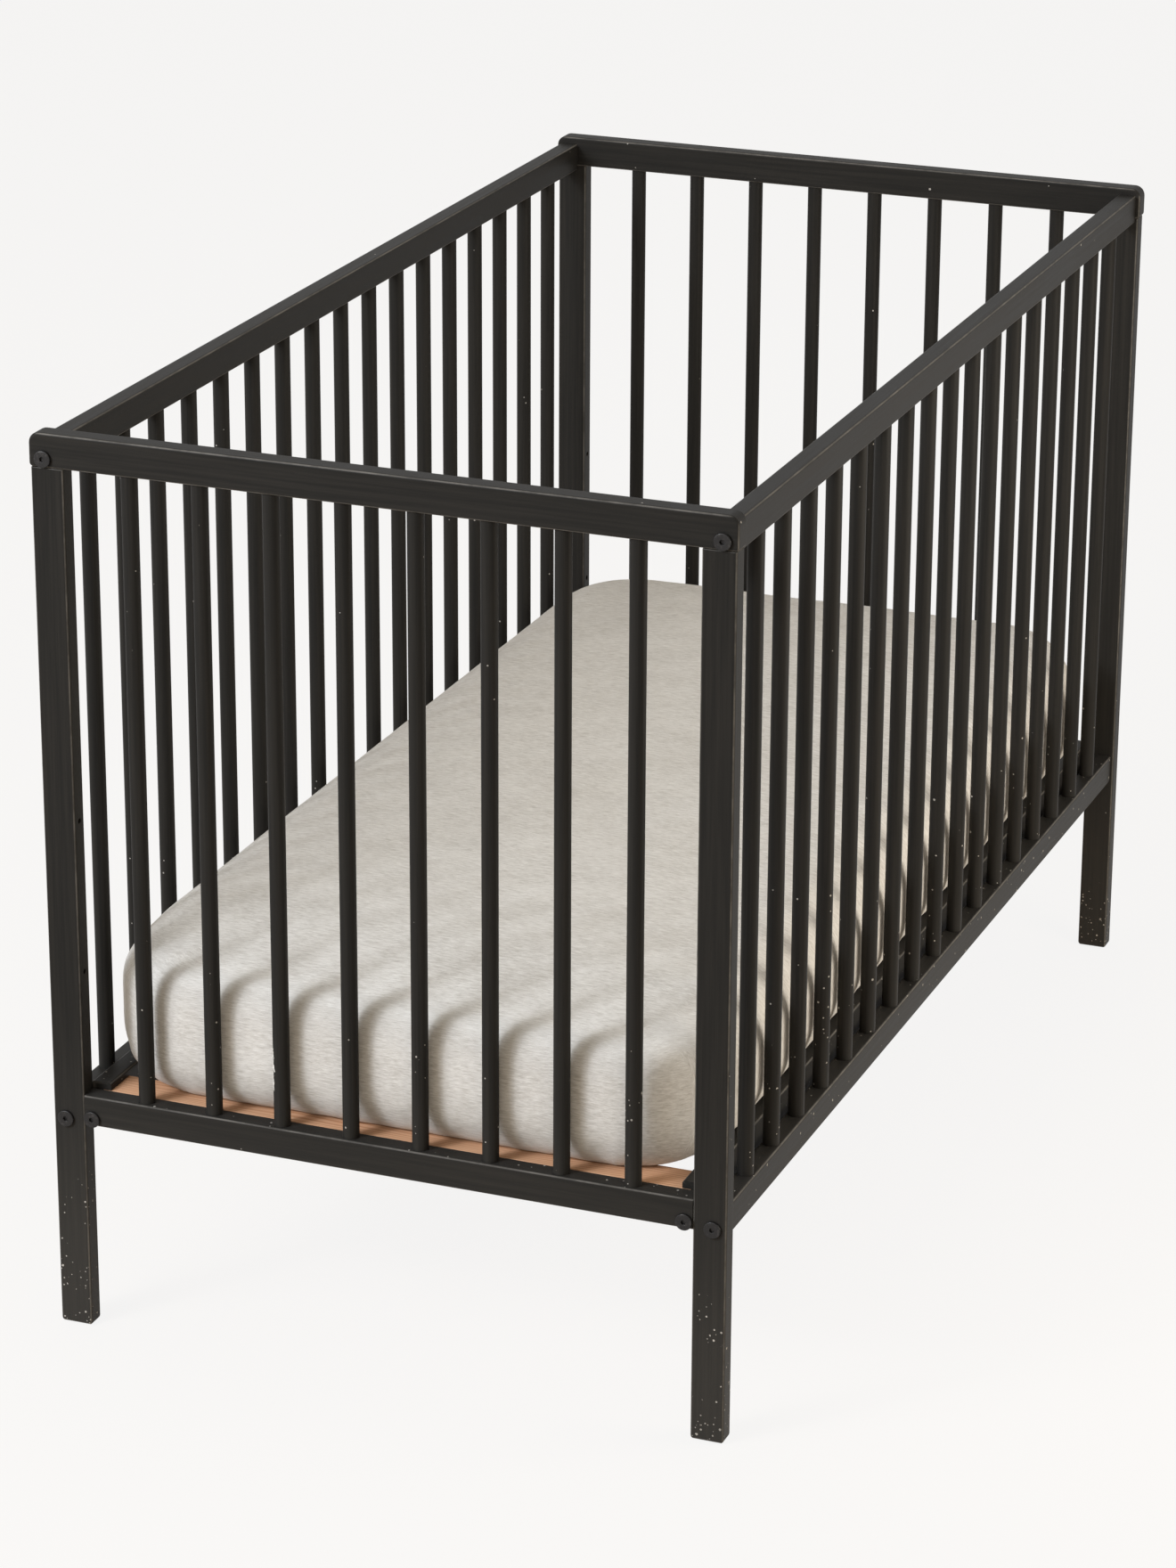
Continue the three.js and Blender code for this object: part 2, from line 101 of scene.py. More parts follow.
CHIPPED_SPINDLE = "foot_spindle_6"
CHIP_WAY = Vector((-0.45, 0.89, 0))  # from the spindle's axis, in radii
CHIP_HEIGHT = 0.284


class Axis(Enum):
    """A direction of the crib's own frame."""

    X = 0
    Y = 1
    Z = 2

    def others(self) -> tuple[int, int]:
        """The two axes across this one."""
        return {0: (1, 2), 1: (0, 2), 2: (0, 1)}[self.value]


class End(Enum):
    """An end of the crib, with the side of the middle it stands on."""

    FOOT = -1
    HEAD = 1


class Side(Enum):
    """A long side of the crib, with the side of the middle it stands on."""

    FRONT = -1
    BACK = 1


def label(place: Enum) -> str:
    """An end, a side or an axis, as the names of nodes and finishes say it."""
    return place.name.lower()


# ---- Node trees ----


@dataclass(frozen=True)
class Wire:
    """A socket of a tree, which plain arithmetic turns into Math nodes."""

    bench: Bench
    socket: bpy.types.NodeSocket

    def __add__(self, other: object) -> Wire:
        """The sum."""
        return self.bench.maths("ADD", self, other)

    def __sub__(self, other: object) -> Wire:
        """The difference."""
        return self.bench.maths("SUBTRACT", self, other)

    def __rsub__(self, other: object) -> Wire:
        """The difference from a plain number."""
        return self.bench.maths("SUBTRACT", other, self)

    def __mul__(self, other: object) -> Wire:
        """The product."""
        return self.bench.maths("MULTIPLY", self, other)

    def __truediv__(self, other: object) -> Wire:
        """The quotient."""
        return self.bench.maths("DIVIDE", self, other)

    def __lt__(self, other: object) -> Wire:
        """1 where this is less, and else 0."""
        return self.bench.maths("LESS_THAN", self, other)


class Bench:
    """Lays out the nodes of one tree, for a finish or for geometry."""

    def __init__(self, tree: bpy.types.NodeTree) -> None:
        """Starts with an empty tree."""
        self.tree = tree
        tree.nodes.clear()

    def node(self, kind: str, *links: object, **values: object) -> bpy.types.Node:
        """Adds a node.

        Args:
            kind: The node's type.
            links: For the node's inputs in their order, a wire, a plain value, or None.
            values: Its properties, and its inputs by their capitalised names with _ for a space.

        Returns:
            The node.
        """
        made = self.tree.nodes.new(kind)
        for key in filter(str.islower, values):
            setattr(made, key, values[key])
        shown = [socket for socket in made.inputs if socket.enabled]
        named = [(next(s for s in shown if s.name == key.replace("_", " ")), values[key])
                 for key in values if not key.islower()]
        for socket, given in (*zip(shown, links), *named):
            self.give(socket, given)
        return made

    def give(self, socket: bpy.types.NodeSocket, given: object) -> None:
        """Links or sets one input.

        Args:
            socket: The input.
            given: A wire, a plain value or colour, or None to leave it.
        """
        if isinstance(given, Wire):
            self.tree.links.new(given.socket, socket)
        elif given is not None:
            socket.default_value = (*given, 1) if socket.type == "RGBA" else given

    def outs(self, kind: str, *links: object, **values: object) -> dict[str, Wire]:
        """Adds a node, and gives its shown outputs by name."""
        return {s.name: Wire(self, s) for s in self.node(kind, *links, **values).outputs if s.enabled}

    def out(self, kind: str, *links: object, pick: str = "", **values: object) -> Wire:
        """Adds a node, and gives its first shown output or the one that is picked by name."""
        found = self.outs(kind, *links, **values)
        return found[pick or next(iter(found))]

    def maths(self, operation: str, *links: object, clamp: bool = False) -> Wire:
        """A Math node's result."""
        return self.out("ShaderNodeMath", *links, operation=operation, use_clamp=clamp)

    def vectors(self, operation: str, *links: object) -> Wire:
        """A Vector Math node's result, which is its number where it gives one."""
        return self.out("ShaderNodeVectorMath", *links, operation=operation)

    def xyz(self, *parts: object) -> Wire:
        """A vector made of three numbers."""
        return self.out("ShaderNodeCombineXYZ", *parts)

    def parts(self, vector: Wire) -> tuple[Wire, ...]:
        """The three numbers of a vector."""
        return tuple(self.outs("ShaderNodeSeparateXYZ", vector).values())

    def spread(self, value: object, low: float, high: float, to_low: float = 0, to_high: float = 1) -> Wire:
        """A value carried smoothly from one range to another, and held at its ends."""
        ranges = (low, high, to_low, to_high)
        return self.out("ShaderNodeMapRange", value, *ranges, interpolation_type="SMOOTHSTEP")


class Finish(Bench):
    """Lays out a finish on a Principled shader, in metres on the crib itself."""

    def __init__(self, name: str) -> None:
        """Starts the finish.

        Args:
            name: What its material is called.
        """
        self.material = bpy.data.materials.new(name)
        self.material.use_nodes = True
        super().__init__(self.material.node_tree)
        self.shader = self.node("ShaderNodeBsdfPrincipled")
        self.node("ShaderNodeOutputMaterial", Wire(self, self.shader.outputs[0]))
        self.place = self.out("ShaderNodeTexCoord", pick="Object")

    def scaled(self, scale: Sequence[float], place: Wire | None = None) -> Wire:
        """The place on the crib, or another vector, with its three parts multiplied."""
        return self.vectors("MULTIPLY", place or self.place, tuple(scale))

    def noise(self, place: Wire, scale: float = 1, detail: float = 3, rough: float = 0.5) -> Wire:
        """A noise about 0.5 at a place."""
        look = {"Scale": scale, "Detail": detail, "Roughness": rough}
        return self.out("ShaderNodeTexNoise", pick="Fac", Vector=place, **look)

    def mix(self, share: object, first: object, second: object, blend: str = "MIX") -> Wire:
        """Two colours mixed, blended or multiplied by a share."""
        return self.out("ShaderNodeMix", share, first, second, data_type="RGBA", blend_type=blend)

    def raised(self, height: Wire, metres: float, strength: float = 1, under: Wire | None = None) -> Wire:
        """A normal bumped by a height, a share of some metres, which may lie over another normal."""
        return self.out("ShaderNodeBump", Height=height, Distance=metres, Strength=strength, Normal=under)

    def set(self, **values: object) -> None:
        """Gives the shader's inputs their values or wires, by name with _ for a space."""
        for name, value in values.items():
            self.give(self.shader.inputs[name.replace("_", " ")], value)


class Recipe:
    """A finish as a set of colours and measures, from which its material is built."""

    def lay(self, f: Finish) -> None:
        """Lays the finish out, each recipe in its own way."""
        raise NotImplementedError

    def material(self, name: str) -> Material:
        """Builds the finish's material.

        Args:
            name: What it is called.

        Returns:
            The material.
        """
        f = Finish(name)
        self.lay(f)
        return f.material


@dataclass(frozen=True)
class BlackStain(Recipe):
    """Wood under a thin black satin stain, with its grain along one axis.

    The arris attribute is 1 on a rounded edge, where the stain is rubbed thinner and a painted highlight
    lightens it.
    """

    grain: Axis
    body: Colour = (0.0150, 0.0143, 0.0132)
    streak: Colour = (0.0225, 0.0207, 0.0185)
    pit: Colour = (0.010, 0.009, 0.008)
    # pale colour on the rounded edges: rubbed wear together with a painted highlight
    rubbed: Colour = (0.170, 0.160, 0.146)
    dust: Colour = (0.42, 0.40, 0.37)
    bare: Colour = (0.80, 0.79, 0.76)
    film: float = 0.045  # how far the stain is mixed towards the dust colour at the floor, so it is lighter towards the bottom
    film_top: float = 0.34
    rough: float = 0.46
    sheen: float = 0.06
    fibre: tuple[float, float] = (0.16, 0.0035)  # length and width of a streak
    pore_scale: tuple[float, float] = (70.0, 1900.0)  # along the grain and across it
    pit_share: float = 0.35
    rubbed_share: float = 0.8
    dusty: float = 0.4  # roughness that dust or bare primer adds
    speck_spacing: float = 0.0036
    speck_least: float = 0.15  # radius of the smallest one, as a share of that spacing
    speck_more: float = 0.20  # what the largest one has over it
    at_feet: tuple[float, ...] = (0.02, 0.20, 0.46, 0.085)  # two heights, and the share of specks at each
    above_feet: tuple[float, ...] = (0.24, 0.42, 0, -0.081)  # the same, added to the first
    chip: Point | None = None
    chip_reach: Point = (0.0032, 0.0032, 0.021)
    chip_edge: float = 0.86  # of that reach
    chip_ragged: float = 3.4

    def grained(self, f: Finish, along: float, across: float, detail: float, rough: float) -> Wire:
        """A noise drawn out along the grain."""
        scale = [along if axis is self.grain else across for axis in Axis]
        return f.noise(f.scaled(scale), 1, detail, rough)

    def lay(self, f: Finish) -> None:
        """Lays the finish out.

        Args:
            f: The finish, still bare.
        """
        drift = f.noise(f.place, 7, 2)
        fibre = self.grained(f, *(1 / size for size in self.fibre), 5, 0.62)
        pore = f.spread(self.grained(f, *self.pore_scale, 2, 0.6), 0.60, 0.74)
        colour = f.mix(f.spread(fibre + drift * 0.12, 0.35, 0.80), self.body, self.streak)
        colour = f.mix(pore * self.pit_share, colour, self.pit)
        arris = f.out("ShaderNodeAttribute", attribute_name="arris", pick="Fac")
        patchy = f.spread(f.noise(f.place, 31, 4, 0.7), 0.30, 0.70, 0.35, 1)
        # painted highlight and rubbed wear: a pale colour laid along the rounded edges in place of the light
        # they catch
        colour = f.mix(f.spread(arris, 0.30, 0.68) * patchy * self.rubbed_share, colour, self.rubbed)
        height = f.parts(f.place)[2]
        # lighter towards the floor: the stain mixed with the dust colour, most at the floor and none above
        # the top height
        colour = f.mix(f.spread(height, 0.0, self.film_top, 1, 0) * self.film, colour, self.dust)
        speck = self.specks(f, height)
        colour = f.mix(speck, colour, self.dust)
        rough = (fibre - 0.5) * 0.22 + self.rough + (drift - 0.5) * 0.05
        normal = f.raised(fibre - pore * 0.8, 0.00006, 0.8)
        normal = f.raised(f.noise(f.place, 60, 2), 0.0004, 0.07, normal)
        if self.chip is not None:
            chipped = self.chipped(f)
            colour = f.mix(chipped, colour, self.bare)
            rough = rough + chipped * self.dusty
            normal = f.raised(1 - chipped, 0.0003, 1, normal)
        rough = f.maths("ADD", rough, speck * self.dusty, clamp=True)
        f.set(Base_Color=colour, Roughness=rough, Normal=normal, Specular_IOR_Level=self.sheen)

    def specks(self, f: Finish, height: Wire) -> Wire:
        """Where dust clings: thick at the feet, thin above them.

        Args:
            f: The finish that is being laid out.
            height: The height above the floor.

        Returns:
            A mask.
        """
        cells = f.outs("ShaderNodeTexVoronoi", Vector=f.place, Scale=1 / self.speck_spacing)
        keep, size, faint = f.outs("ShaderNodeSeparateColor", cells["Color"]).values()
        feet, above = f.spread(height, *self.at_feet), f.spread(height, *self.above_feet)
        patchy = f.spread(f.noise(f.place, 22, 3, 0.6), 0.40, 0.66, 0.25, 1.5)
        dot = cells["Distance"] < f.maths("POWER", size, 3.0) * self.speck_more + self.speck_least
        return (keep < (feet + above) * patchy) * dot * (faint * 0.45 + 0.55)

    def chipped(self, f: Finish) -> Wire:
        """Where the stain has flaked off down to the primer.

        Args:
            f: The finish that is being laid out.

        Returns:
            A mask.
        """
        away = f.vectors("SUBTRACT", f.place, self.chip)
        reach = f.vectors("LENGTH", f.vectors("DIVIDE", away, self.chip_reach))
        ragged = f.noise(f.scaled((420, 420, 190)), 1, 4, 0.7)
        return (ragged - 0.5) * self.chip_ragged + reach < self.chip_edge


@dataclass(frozen=True)
class PaleWood(Recipe):
    """Bare planed softwood with its grain along Y, a little different on every slat."""

    early: Colour = (0.60, 0.350, 0.210)
    late: Colour = (0.43, 0.210, 0.105)
    ring_width: float = 0.0042
    fibre_scale: Point = (1500, 26, 1500)
    board_step: tuple[float, float] = (7.3, 3.1)  # across the noise from slat to slat, along and up
    bow: float = 0.05  # how far the rings wander
    rough: float = 0.62

    def lay(self, f: Finish) -> None:
        """Lays the finish out.

        Args:
            f: The finish, still bare.
        """
        tone = f.out("ShaderNodeAttribute", attribute_name="tone", attribute_type="GEOMETRY", pick="Fac")
        place = f.vectors("ADD", f.place, f.xyz(0.0, *(tone * step for step in self.board_step)))
        bend = f.noise(f.scaled((14, 2.2, 14), place), 1, 2)
        across, _, up = f.parts(place)
        rings = across + up * 0.6 + bend * self.bow
        band = f.spread(f.maths("SINE", rings * (WHOLE_TURN / self.ring_width)), -0.3, 1.0)
        fibre = f.noise(f.scaled(self.fibre_scale, place), 1, 4, 0.6)
        share = band * f.spread(f.noise(place, 11, 2), 0.3, 0.7, 0.35, 0.9)
        colour = f.mix(share, self.early, self.late)
        colour = f.mix(f.spread(fibre, 0.35, 0.8, 0, 0.35), colour, self.late)
        bright = tone * 0.26 + 0.84
        colour = f.mix(1.0, colour, f.out("ShaderNodeCombineColor", bright, bright, bright), "MULTIPLY")
        rough = f.spread(fibre, 0.2, 0.8, self.rough - 0.08, self.rough + 0.12)
        f.set(Base_Color=colour, Normal=f.raised(fibre, 0.00008, 0.9), Roughness=rough)


@dataclass(frozen=True)
class BlackSteel(Recipe):
    """Blackened steel with a faint mottle."""

    body: Colour = (0.019, 0.0172, 0.0165)
    bright: Colour = (0.052, 0.046, 0.043)
    rough: float = 0.42

    def lay(self, f: Finish) -> None:
        """Lays the finish out.

        Args:
            f: The finish, still bare.
        """
        mottle = f.noise(f.place, 900, 4, 0.65)
        rub = f.spread(f.noise(f.place, 260, 3, 0.6), 0.5, 0.75)
        rough = f.spread(mottle, 0.3, 0.7, self.rough - 0.1, self.rough + 0.14)
        f.set(Base_Color=f.mix(rub * 0.8, self.body, self.bright), Metallic=0.55, Roughness=rough)
        f.set(Normal=f.raised(mottle, 0.00005, 0.7))


@dataclass(frozen=True)
class Jersey(Recipe):
    """Heathered cotton jersey. Its pale and dark yarns run in fine streaks across the cloth.

    The cloth UV map holds each point's place on the flat cut, in metres, with the length in U.
    """

    pale: Colour = (0.725, 0.712, 0.688)
    dark: Colour = (0.440, 0.418, 0.388)
    fleck: Colour = (0.80, 0.78, 0.74)
    rough: float = 0.9
    yarn: float = 0.00075
    yarn_run: float = 0.0075

    def lay(self, f: Finish) -> None:
        """Lays the finish out.

        Args:
            f: The finish, still bare.
        """
        cloth = f.out("ShaderNodeUVMap", uv_map="cloth")

        def drawn(wide: float, long: float, detail: float, rough: float) -> Wire:
            """A noise in streaks, so many to the width and the length of a yarn."""
            return f.noise(f.scaled((wide / self.yarn, long / self.yarn_run, 1), cloth), 1, detail, rough)

        broad = f.noise(f.scaled((24, 9, 1), cloth), 1, 3)
        streak = drawn(1, 1, 4, 0.68)
        slub = drawn(0.33, 0.45, 3, 0.6)
        fleck = drawn(1.9, 5.5, 2, 0.6)
        share = (broad - 0.5) * 0.16 + (streak * 0.62 + slub * 0.38)
        colour = f.mix(f.spread(share, 0.34, 0.70), self.pale, self.dark)
        colour = f.mix(f.spread(fleck, 0.60, 0.78, 0, 0.30), colour, self.fleck)
        rows = f.out(
            "ShaderNodeTexWave",
            wave_profile="SIN",
            bands_direction="X",
            Vector=f.scaled((1.0, 0.0, 0.0), cloth),
            Scale=0.16 * WHOLE_TURN / self.yarn,
            pick="Fac",
        )
        normal = f.raised(rows * 0.35 + streak, 0.00022, 0.7)
        normal = f.raised(slub, 0.0006, 0.35, normal)
        f.set(Base_Color=colour, Roughness=self.rough, Normal=normal)
        f.set(Sheen_Weight=0.12, Sheen_Roughness=0.5, Specular_IOR_Level=0.25)


@dataclass(frozen=True)
class Ticking(Recipe):
    """Plain woven mattress cover."""

    thread: Colour = (0.80, 0.78, 0.73)
    gap: Colour = (0.60, 0.57, 0.51)
    pitch: float = 0.0011

    def lay(self, f: Finish) -> None:
        """Lays the finish out.

        Args:
            f: The finish, still bare.
        """
        x, y, z = f.parts(f.scaled([WHOLE_TURN / self.pitch] * 3))
        weave = f.maths("SINE", x) * f.maths("SINE", y + z)
        colour = f.mix(f.spread(weave, -0.9, 0.7), self.gap, self.thread)
        colour = f.mix(f.spread(f.noise(f.place, 30, 3), 0.35, 0.8, 0, 0.2), colour, self.gap)
        f.set(Base_Color=colour, Roughness=0.92, Normal=f.raised(weave, 0.00025, 0.6), Sheen_Weight=0.1)


# ---- Meshes ----


def made_object(name: str, points: Sequence, faces: Sequence, material: Material) -> Object:
    """A mesh object in the scene, with one material and its faces turned outwards.

    Args:
        name: The object's name.
        points: Its vertices.
        faces: Its faces as vertex numbers.
        material: Its material.

    Returns:
        The object.
    """
    mesh = bpy.data.meshes.new(name)
    mesh.from_pydata([tuple(map(float, p)) for p in points], [], [tuple(map(int, f)) for f in faces])
    mend(mesh)
    mesh.materials.append(material)
    made = bpy.data.objects.new(name, mesh)
    bpy.context.scene.collection.objects.link(made)
    return made


def mend(mesh: bpy.types.Mesh, least: float = 0.0, doomed: Iterable[int] = ()) -> None:
    """Turns a mesh's faces outwards, after it loses what isn't wanted.

    Args:
        mesh: The mesh.
        least: Vertices closer than this become one, unless it is 0.
        doomed: Vertices to delete with their faces. The faces that stay aren't turned then.
    """
    shape = bmesh.new()
    shape.from_mesh(mesh)
    shape.verts.ensure_lookup_table()
    lost = [shape.verts[k] for k in doomed]
    if least:
        bmesh.ops.remove_doubles(shape, verts=shape.verts, dist=least)
    if lost:
        bmesh.ops.delete(shape, geom=lost, context="VERTS")
    else:
        bmesh.ops.recalc_face_normals(shape, faces=shape.faces)
    shape.to_mesh(mesh)
    shape.free()


def points_of(obj: Object, what: str = "co") -> np.ndarray:
    """The vertices of an object's mesh, or their normals.

    Args:
        obj: The object.
        what: "co" for the places, "normal" for the normals.

    Returns:
        One row for each vertex.
    """
    spots = np.zeros(len(obj.data.vertices) * 3)
    obj.data.vertices.foreach_get(what, spots)
    return spots.reshape(-1, 3)


def reshape(obj: Object, spots: np.ndarray) -> None:
    """Moves the vertices of an object's mesh to new places."""
    obj.data.vertices.foreach_set("co", spots.ravel())
    obj.data.update()


def noises(spots: np.ndarray) -> np.ndarray:
    """A smooth noise between -1 and 1 at each of some points."""
    return np.array([noise.noise(Vector(spot)) for spot in spots])


def smooth(share: np.ndarray) -> np.ndarray:
    """Eases a share in and out between 0 and 1."""
    share = np.clip(share, 0, 1)
    return share * share * (3 - 2 * share)


def baked(obj: Object) -> Object:
    """Turns an object's modifiers into plain mesh.

    Args:
        obj: The object.

    Returns:
        The same object, without modifiers.
    """
    bpy.context.view_layer.update()
    graph = bpy.context.evaluated_depsgraph_get()
    shown = obj.evaluated_get(graph)
    mesh = bpy.data.meshes.new_from_object(shown, preserve_all_data_layers=True, depsgraph=graph)
    obj.modifiers.clear()
    old, obj.data = obj.data, mesh
    bpy.data.meshes.remove(old)
    mesh.name = obj.name
    return obj


def smoothed(obj: Object, sharp: float = 40, weighted: bool = True) -> Object:
    """Shades a hard piece: smooth over its roundings, flat on its faces.

    Args:
        obj: The piece.
        sharp: The least angle of a sharp edge, in degrees.
        weighted: Whether large faces keep their own normals.

    Returns:
        The piece.
    """
    obj.data.shade_smooth()
    obj.data.set_sharp_from_angle(angle=math.radians(sharp))
    if weighted:
        obj.modifiers.new("even", "WEIGHTED_NORMAL").keep_sharp = True
        baked(obj)
    return obj


def tube_faces(around: int, rings: int) -> list[tuple[int, ...]]:
    """The faces of a closed tube.

    Args:
        around: How many points each ring has.
        rings: How many rings there are.

    Returns:
        The faces along the tube, and its two ends.
    """
    sides = [
        (ring + k, ring + after, ring + after + around, ring + k + around)
        for ring in range(0, (rings - 1) * around, around)
        for k, after in enumerate((*range(1, around), 0))
    ]
    return [*sides, tuple(range(around)), tuple(range((rings - 1) * around, rings * around))]


def cylinder_tool(start: Vector, end: Vector, diameter: float, sides: int = 32) -> Object:
    """A cutting cylinder between two points.

    Args:
        start: The middle of one end.
        end: The middle of the other.
        diameter: Its diameter.
        sides: How many sides it has.

    Returns:
        The tool.
    """
    turn = (end - start).to_track_quat("Z", "Y").to_matrix()
    angles = [WHOLE_TURN * k / sides for k in range(sides)]
    ring = [turn @ Vector((math.cos(angle), math.sin(angle), 0)) * (diameter / 2) for angle in angles]
    points = [origin + spoke for origin in (start, end) for spoke in ring]
    return made_object("tool", points, tube_faces(sides, 2), bpy.data.materials[0])


def box_tool(low: Vector, high: Vector) -> Object:
    """A cutting block.

    Args:
        low: Its low corner.
        high: Its high corner.

    Returns:
        The tool.
    """
    points = [(x, y, z) for x in (low.x, high.x) for y in (low.y, high.y) for z in (low.z, high.z)]
    faces = [(0, 1, 3, 2), (4, 5, 7, 6), (0, 1, 5, 4), (2, 3, 7, 6), (0, 2, 6, 4), (1, 3, 7, 5)]
    return made_object("tool", points, faces, bpy.data.materials[0])


def cut(obj: Object, tools: Sequence[Object]) -> Object:
    """Cuts tools out of a piece, and removes them.

    Args:
        obj: The piece.
        tools: What is cut out of it.

    Returns:
        The piece.
    """
    for tool in tools:
        step = obj.modifiers.new("cut", "BOOLEAN")
        step.object, step.operation, step.solver = tool, "DIFFERENCE", "EXACT"
    if tools:
        baked(obj)
    for tool in tools:
        bpy.data.objects.remove(tool)
    return obj


@dataclass(frozen=True)
class Bar:
    """A straight wooden bar that fills the box between two corners, swept along one axis."""

    name: str
    low: Vector
    high: Vector
    sweep: Axis
    edge: float = 0.0025  # rounding of the long edges, or of the upper corners
    lower_edge: float | None = None  # rounding of the lower corners, where it differs
    start_edge: float = 0.0  # rounding around the end at the low side
    end_edge: float = 0.0
    steps: int = 5
    sharpest_bare: float = 0.005  # a wider rounding gets neither rubbed wear nor the painted highlight
    least_corner: float = 0.0003  # radius left where a rounding has used up a corner

    @property
    def lower(self) -> float:
        """The rounding of the lower corners."""
        return self.edge if self.lower_edge is None else self.lower_edge

    def outline(self, inset: float) -> list[tuple[float, float]]:
        """The section moved inwards.

        Args:
            inset: How far.

        Returns:
            Its corners, anticlockwise in the two axes across the sweep.
        """
        middle = (self.low + self.high) / 2
        half = [(high - low) / 2 for low, high in zip(self.low, self.high)]
        corners = ((1, 1, self.edge), (-1, 1, self.edge), (-1, -1, self.lower), (1, -1, self.lower))
        found = []
        for quarter, (*ways, corner) in enumerate(corners):
            radius = max(corner - inset, self.least_corner)
            for step in range(self.steps + 1):
                angle = math.pi / 2 * (quarter + step / self.steps)
                found.append(tuple(
                    middle[axis] + way * (half[axis] - inset - radius) + radius * turn
                    for axis, way, turn in zip(self.sweep.others(), ways, (math.cos(angle), math.sin(angle)))
                ))
        return found

    def stations(self) -> list[tuple[float, float]]:
        """Follows the sweep from end to end.

        Returns:
            The inset and the place of each ring.
        """
        s = self.sweep.value
        rounds = []
        for radius, origin, way in ((self.start_edge, self.low[s], 1), (self.end_edge, self.high[s], -1)):
            count = self.steps if radius else 0
            turn = [math.pi / 2 * k / max(count, 1) for k in range(count + 1)]
            out = way * radius
            rounds.append([(radius * (1 - math.sin(t)), origin + out * (1 - math.cos(t))) for t in turn])
        return rounds[0] + rounds[1][::-1]

    def build(self, material: Material) -> Object:
        """Makes the bar, not yet shaded.

        Args:
            material: Its finish.

        Returns:
            The bar.
        """
        order = np.argsort((self.sweep.value, *self.sweep.others()))
        rings = [(place, self.outline(inset)) for inset, place in self.stations()]
        points = [np.array((place, *spot))[order] for place, ring in rings for spot in ring]
        around = 4 * (self.steps + 1)
        return made_object(self.name, points, tube_faces(around, len(points) // around), material)

    def finished(self, obj: Object) -> Object:
        """Shades the bar and marks its rounded edges.

        Args:
            obj: The bar, with its holes cut.

        Returns:
            The bar.
        """
        spots = points_of(obj)
        gaps = np.concatenate([spots - np.array(self.low), np.array(self.high) - spots], axis=1).T
        (a, b), s = self.sweep.others(), self.sweep.value
        long, ends = ((b, self.lower), (b + 3, self.edge)), ((s, self.start_edge), (s + 3, self.end_edge))
        # where the stain is rubbed and the painted highlight falls: 1 on the rounded edges
        wear_and_highlight = np.zeros(len(spots))
        for sides, edges in (((a, a + 3), long), ((a, a + 3, b, b + 3), ends)):
            for side, (other, radius) in product(sides, edges):
                if 0 < radius < self.sharpest_bare:
                    wear_and_highlight = np.maximum(wear_and_highlight, 1 - np.maximum(gaps[side], gaps[other]) / radius)
        obj.data.attributes.new("arris", "FLOAT", "POINT").data.foreach_set("value", wear_and_highlight)
        return smoothed(obj)


# ---- Repeating pieces ----


class Repeat(Bench):
    """A Geometry Nodes tree with named sizes, run once and baked to a plain mesh."""

    KINDS = {float: "Float", int: "Int", Vector: "Vector"}

    def __init__(self, name: str, **sizes: object) -> None:
        """Starts the tree.

        Args:
            name: What it makes.
            sizes: Its inputs with their values, and its material.
        """
        super().__init__(bpy.data.node_groups.new(name, "GeometryNodeTree"))
        self.name, self.sizes, self.ids = name, sizes, {}
        face = self.tree.interface
        face.new_socket("Geometry", in_out="INPUT", socket_type="NodeSocketGeometry")
        for key, value in sizes.items():
            kind = "NodeSocket" + self.KINDS.get(type(value), "Material")
            self.ids[key] = face.new_socket(key, in_out="INPUT", socket_type=kind).identifier
        face.new_socket("Geometry", in_out="OUTPUT", socket_type="NodeSocketGeometry")
        self.given = self.node("NodeGroupInput").outputs

    def __getitem__(self, key: str) -> Wire:
        """The wire of a named input."""
        return Wire(self, next(s for s in self.given if s.identifier == self.ids[key]))

    def chance(self, high: float = 1.0) -> Wire:
        """A random number from 0 up for each piece."""
        return self.out("FunctionNodeRandomValue", data_type="FLOAT", Max=high, Seed=self["seed"])

    def moved(self, geometry: Wire, **ways: object) -> Wire:
        """A geometry moved or turned."""
        return self.out("GeometryNodeTransform", geometry, **ways)

    def joined(self, *parts: Wire) -> Wire:
        """Joins geometries.

        Args:
            parts: The geometries.

        Returns:
            All of them as one.
        """
        both = self.node("GeometryNodeJoinGeometry")
        for part in parts:
            self.give(both.inputs[0], part)
        return Wire(self, both.outputs[0])

    def made(self, geometry: Wire, start: Object | None = None) -> Object:
        """Ends the tree, runs it and bakes it.

        Args:
            geometry: The instances to realize.
            start: An object whose mesh goes in, or None for an empty one.

        Returns:
            The object with the finished mesh.
        """
        real = self.out("GeometryNodeRealizeInstances", geometry)
        dressed = self.out("GeometryNodeSetMaterial", real, Material=self["material"])
        self.node("NodeGroupOutput", dressed)
        if start is None:
            start = bpy.data.objects.new(self.name, bpy.data.meshes.new(self.name))
            bpy.context.scene.collection.objects.link(start)
        run = start.modifiers.new(self.name, "NODES")
        run.node_group = self.tree
        for key, value in self.sizes.items():
            run[self.ids[key]] = list(value) if isinstance(value, Vector) else value
        mend(baked(start).data, least=1e-6)
        return start


@dataclass(frozen=True)
class Row:
    """A straight row of like pieces, evenly spaced."""

    name: str
    first: Vector  # where the first piece stands
    last: Vector
    count: int

    def laid_out(self, material: Material) -> tuple[Repeat, Wire]:
        """Starts the tree that makes the row, with the row's own sizes as inputs.

        Args:
            material: The pieces' finish.

        Returns:
            The tree, and the places of the pieces.
        """
        sizes = {key: size for key, size in vars(self).items() if key != "last"}
        tree = Repeat(**sizes, step=(self.last - self.first) / (self.count - 1), material=material)
        spots = {"Count": tree["count"], "Start_Location": tree["first"], "Offset": tree["step"]}
        return tree, tree.out("GeometryNodeMeshLine", **spots)


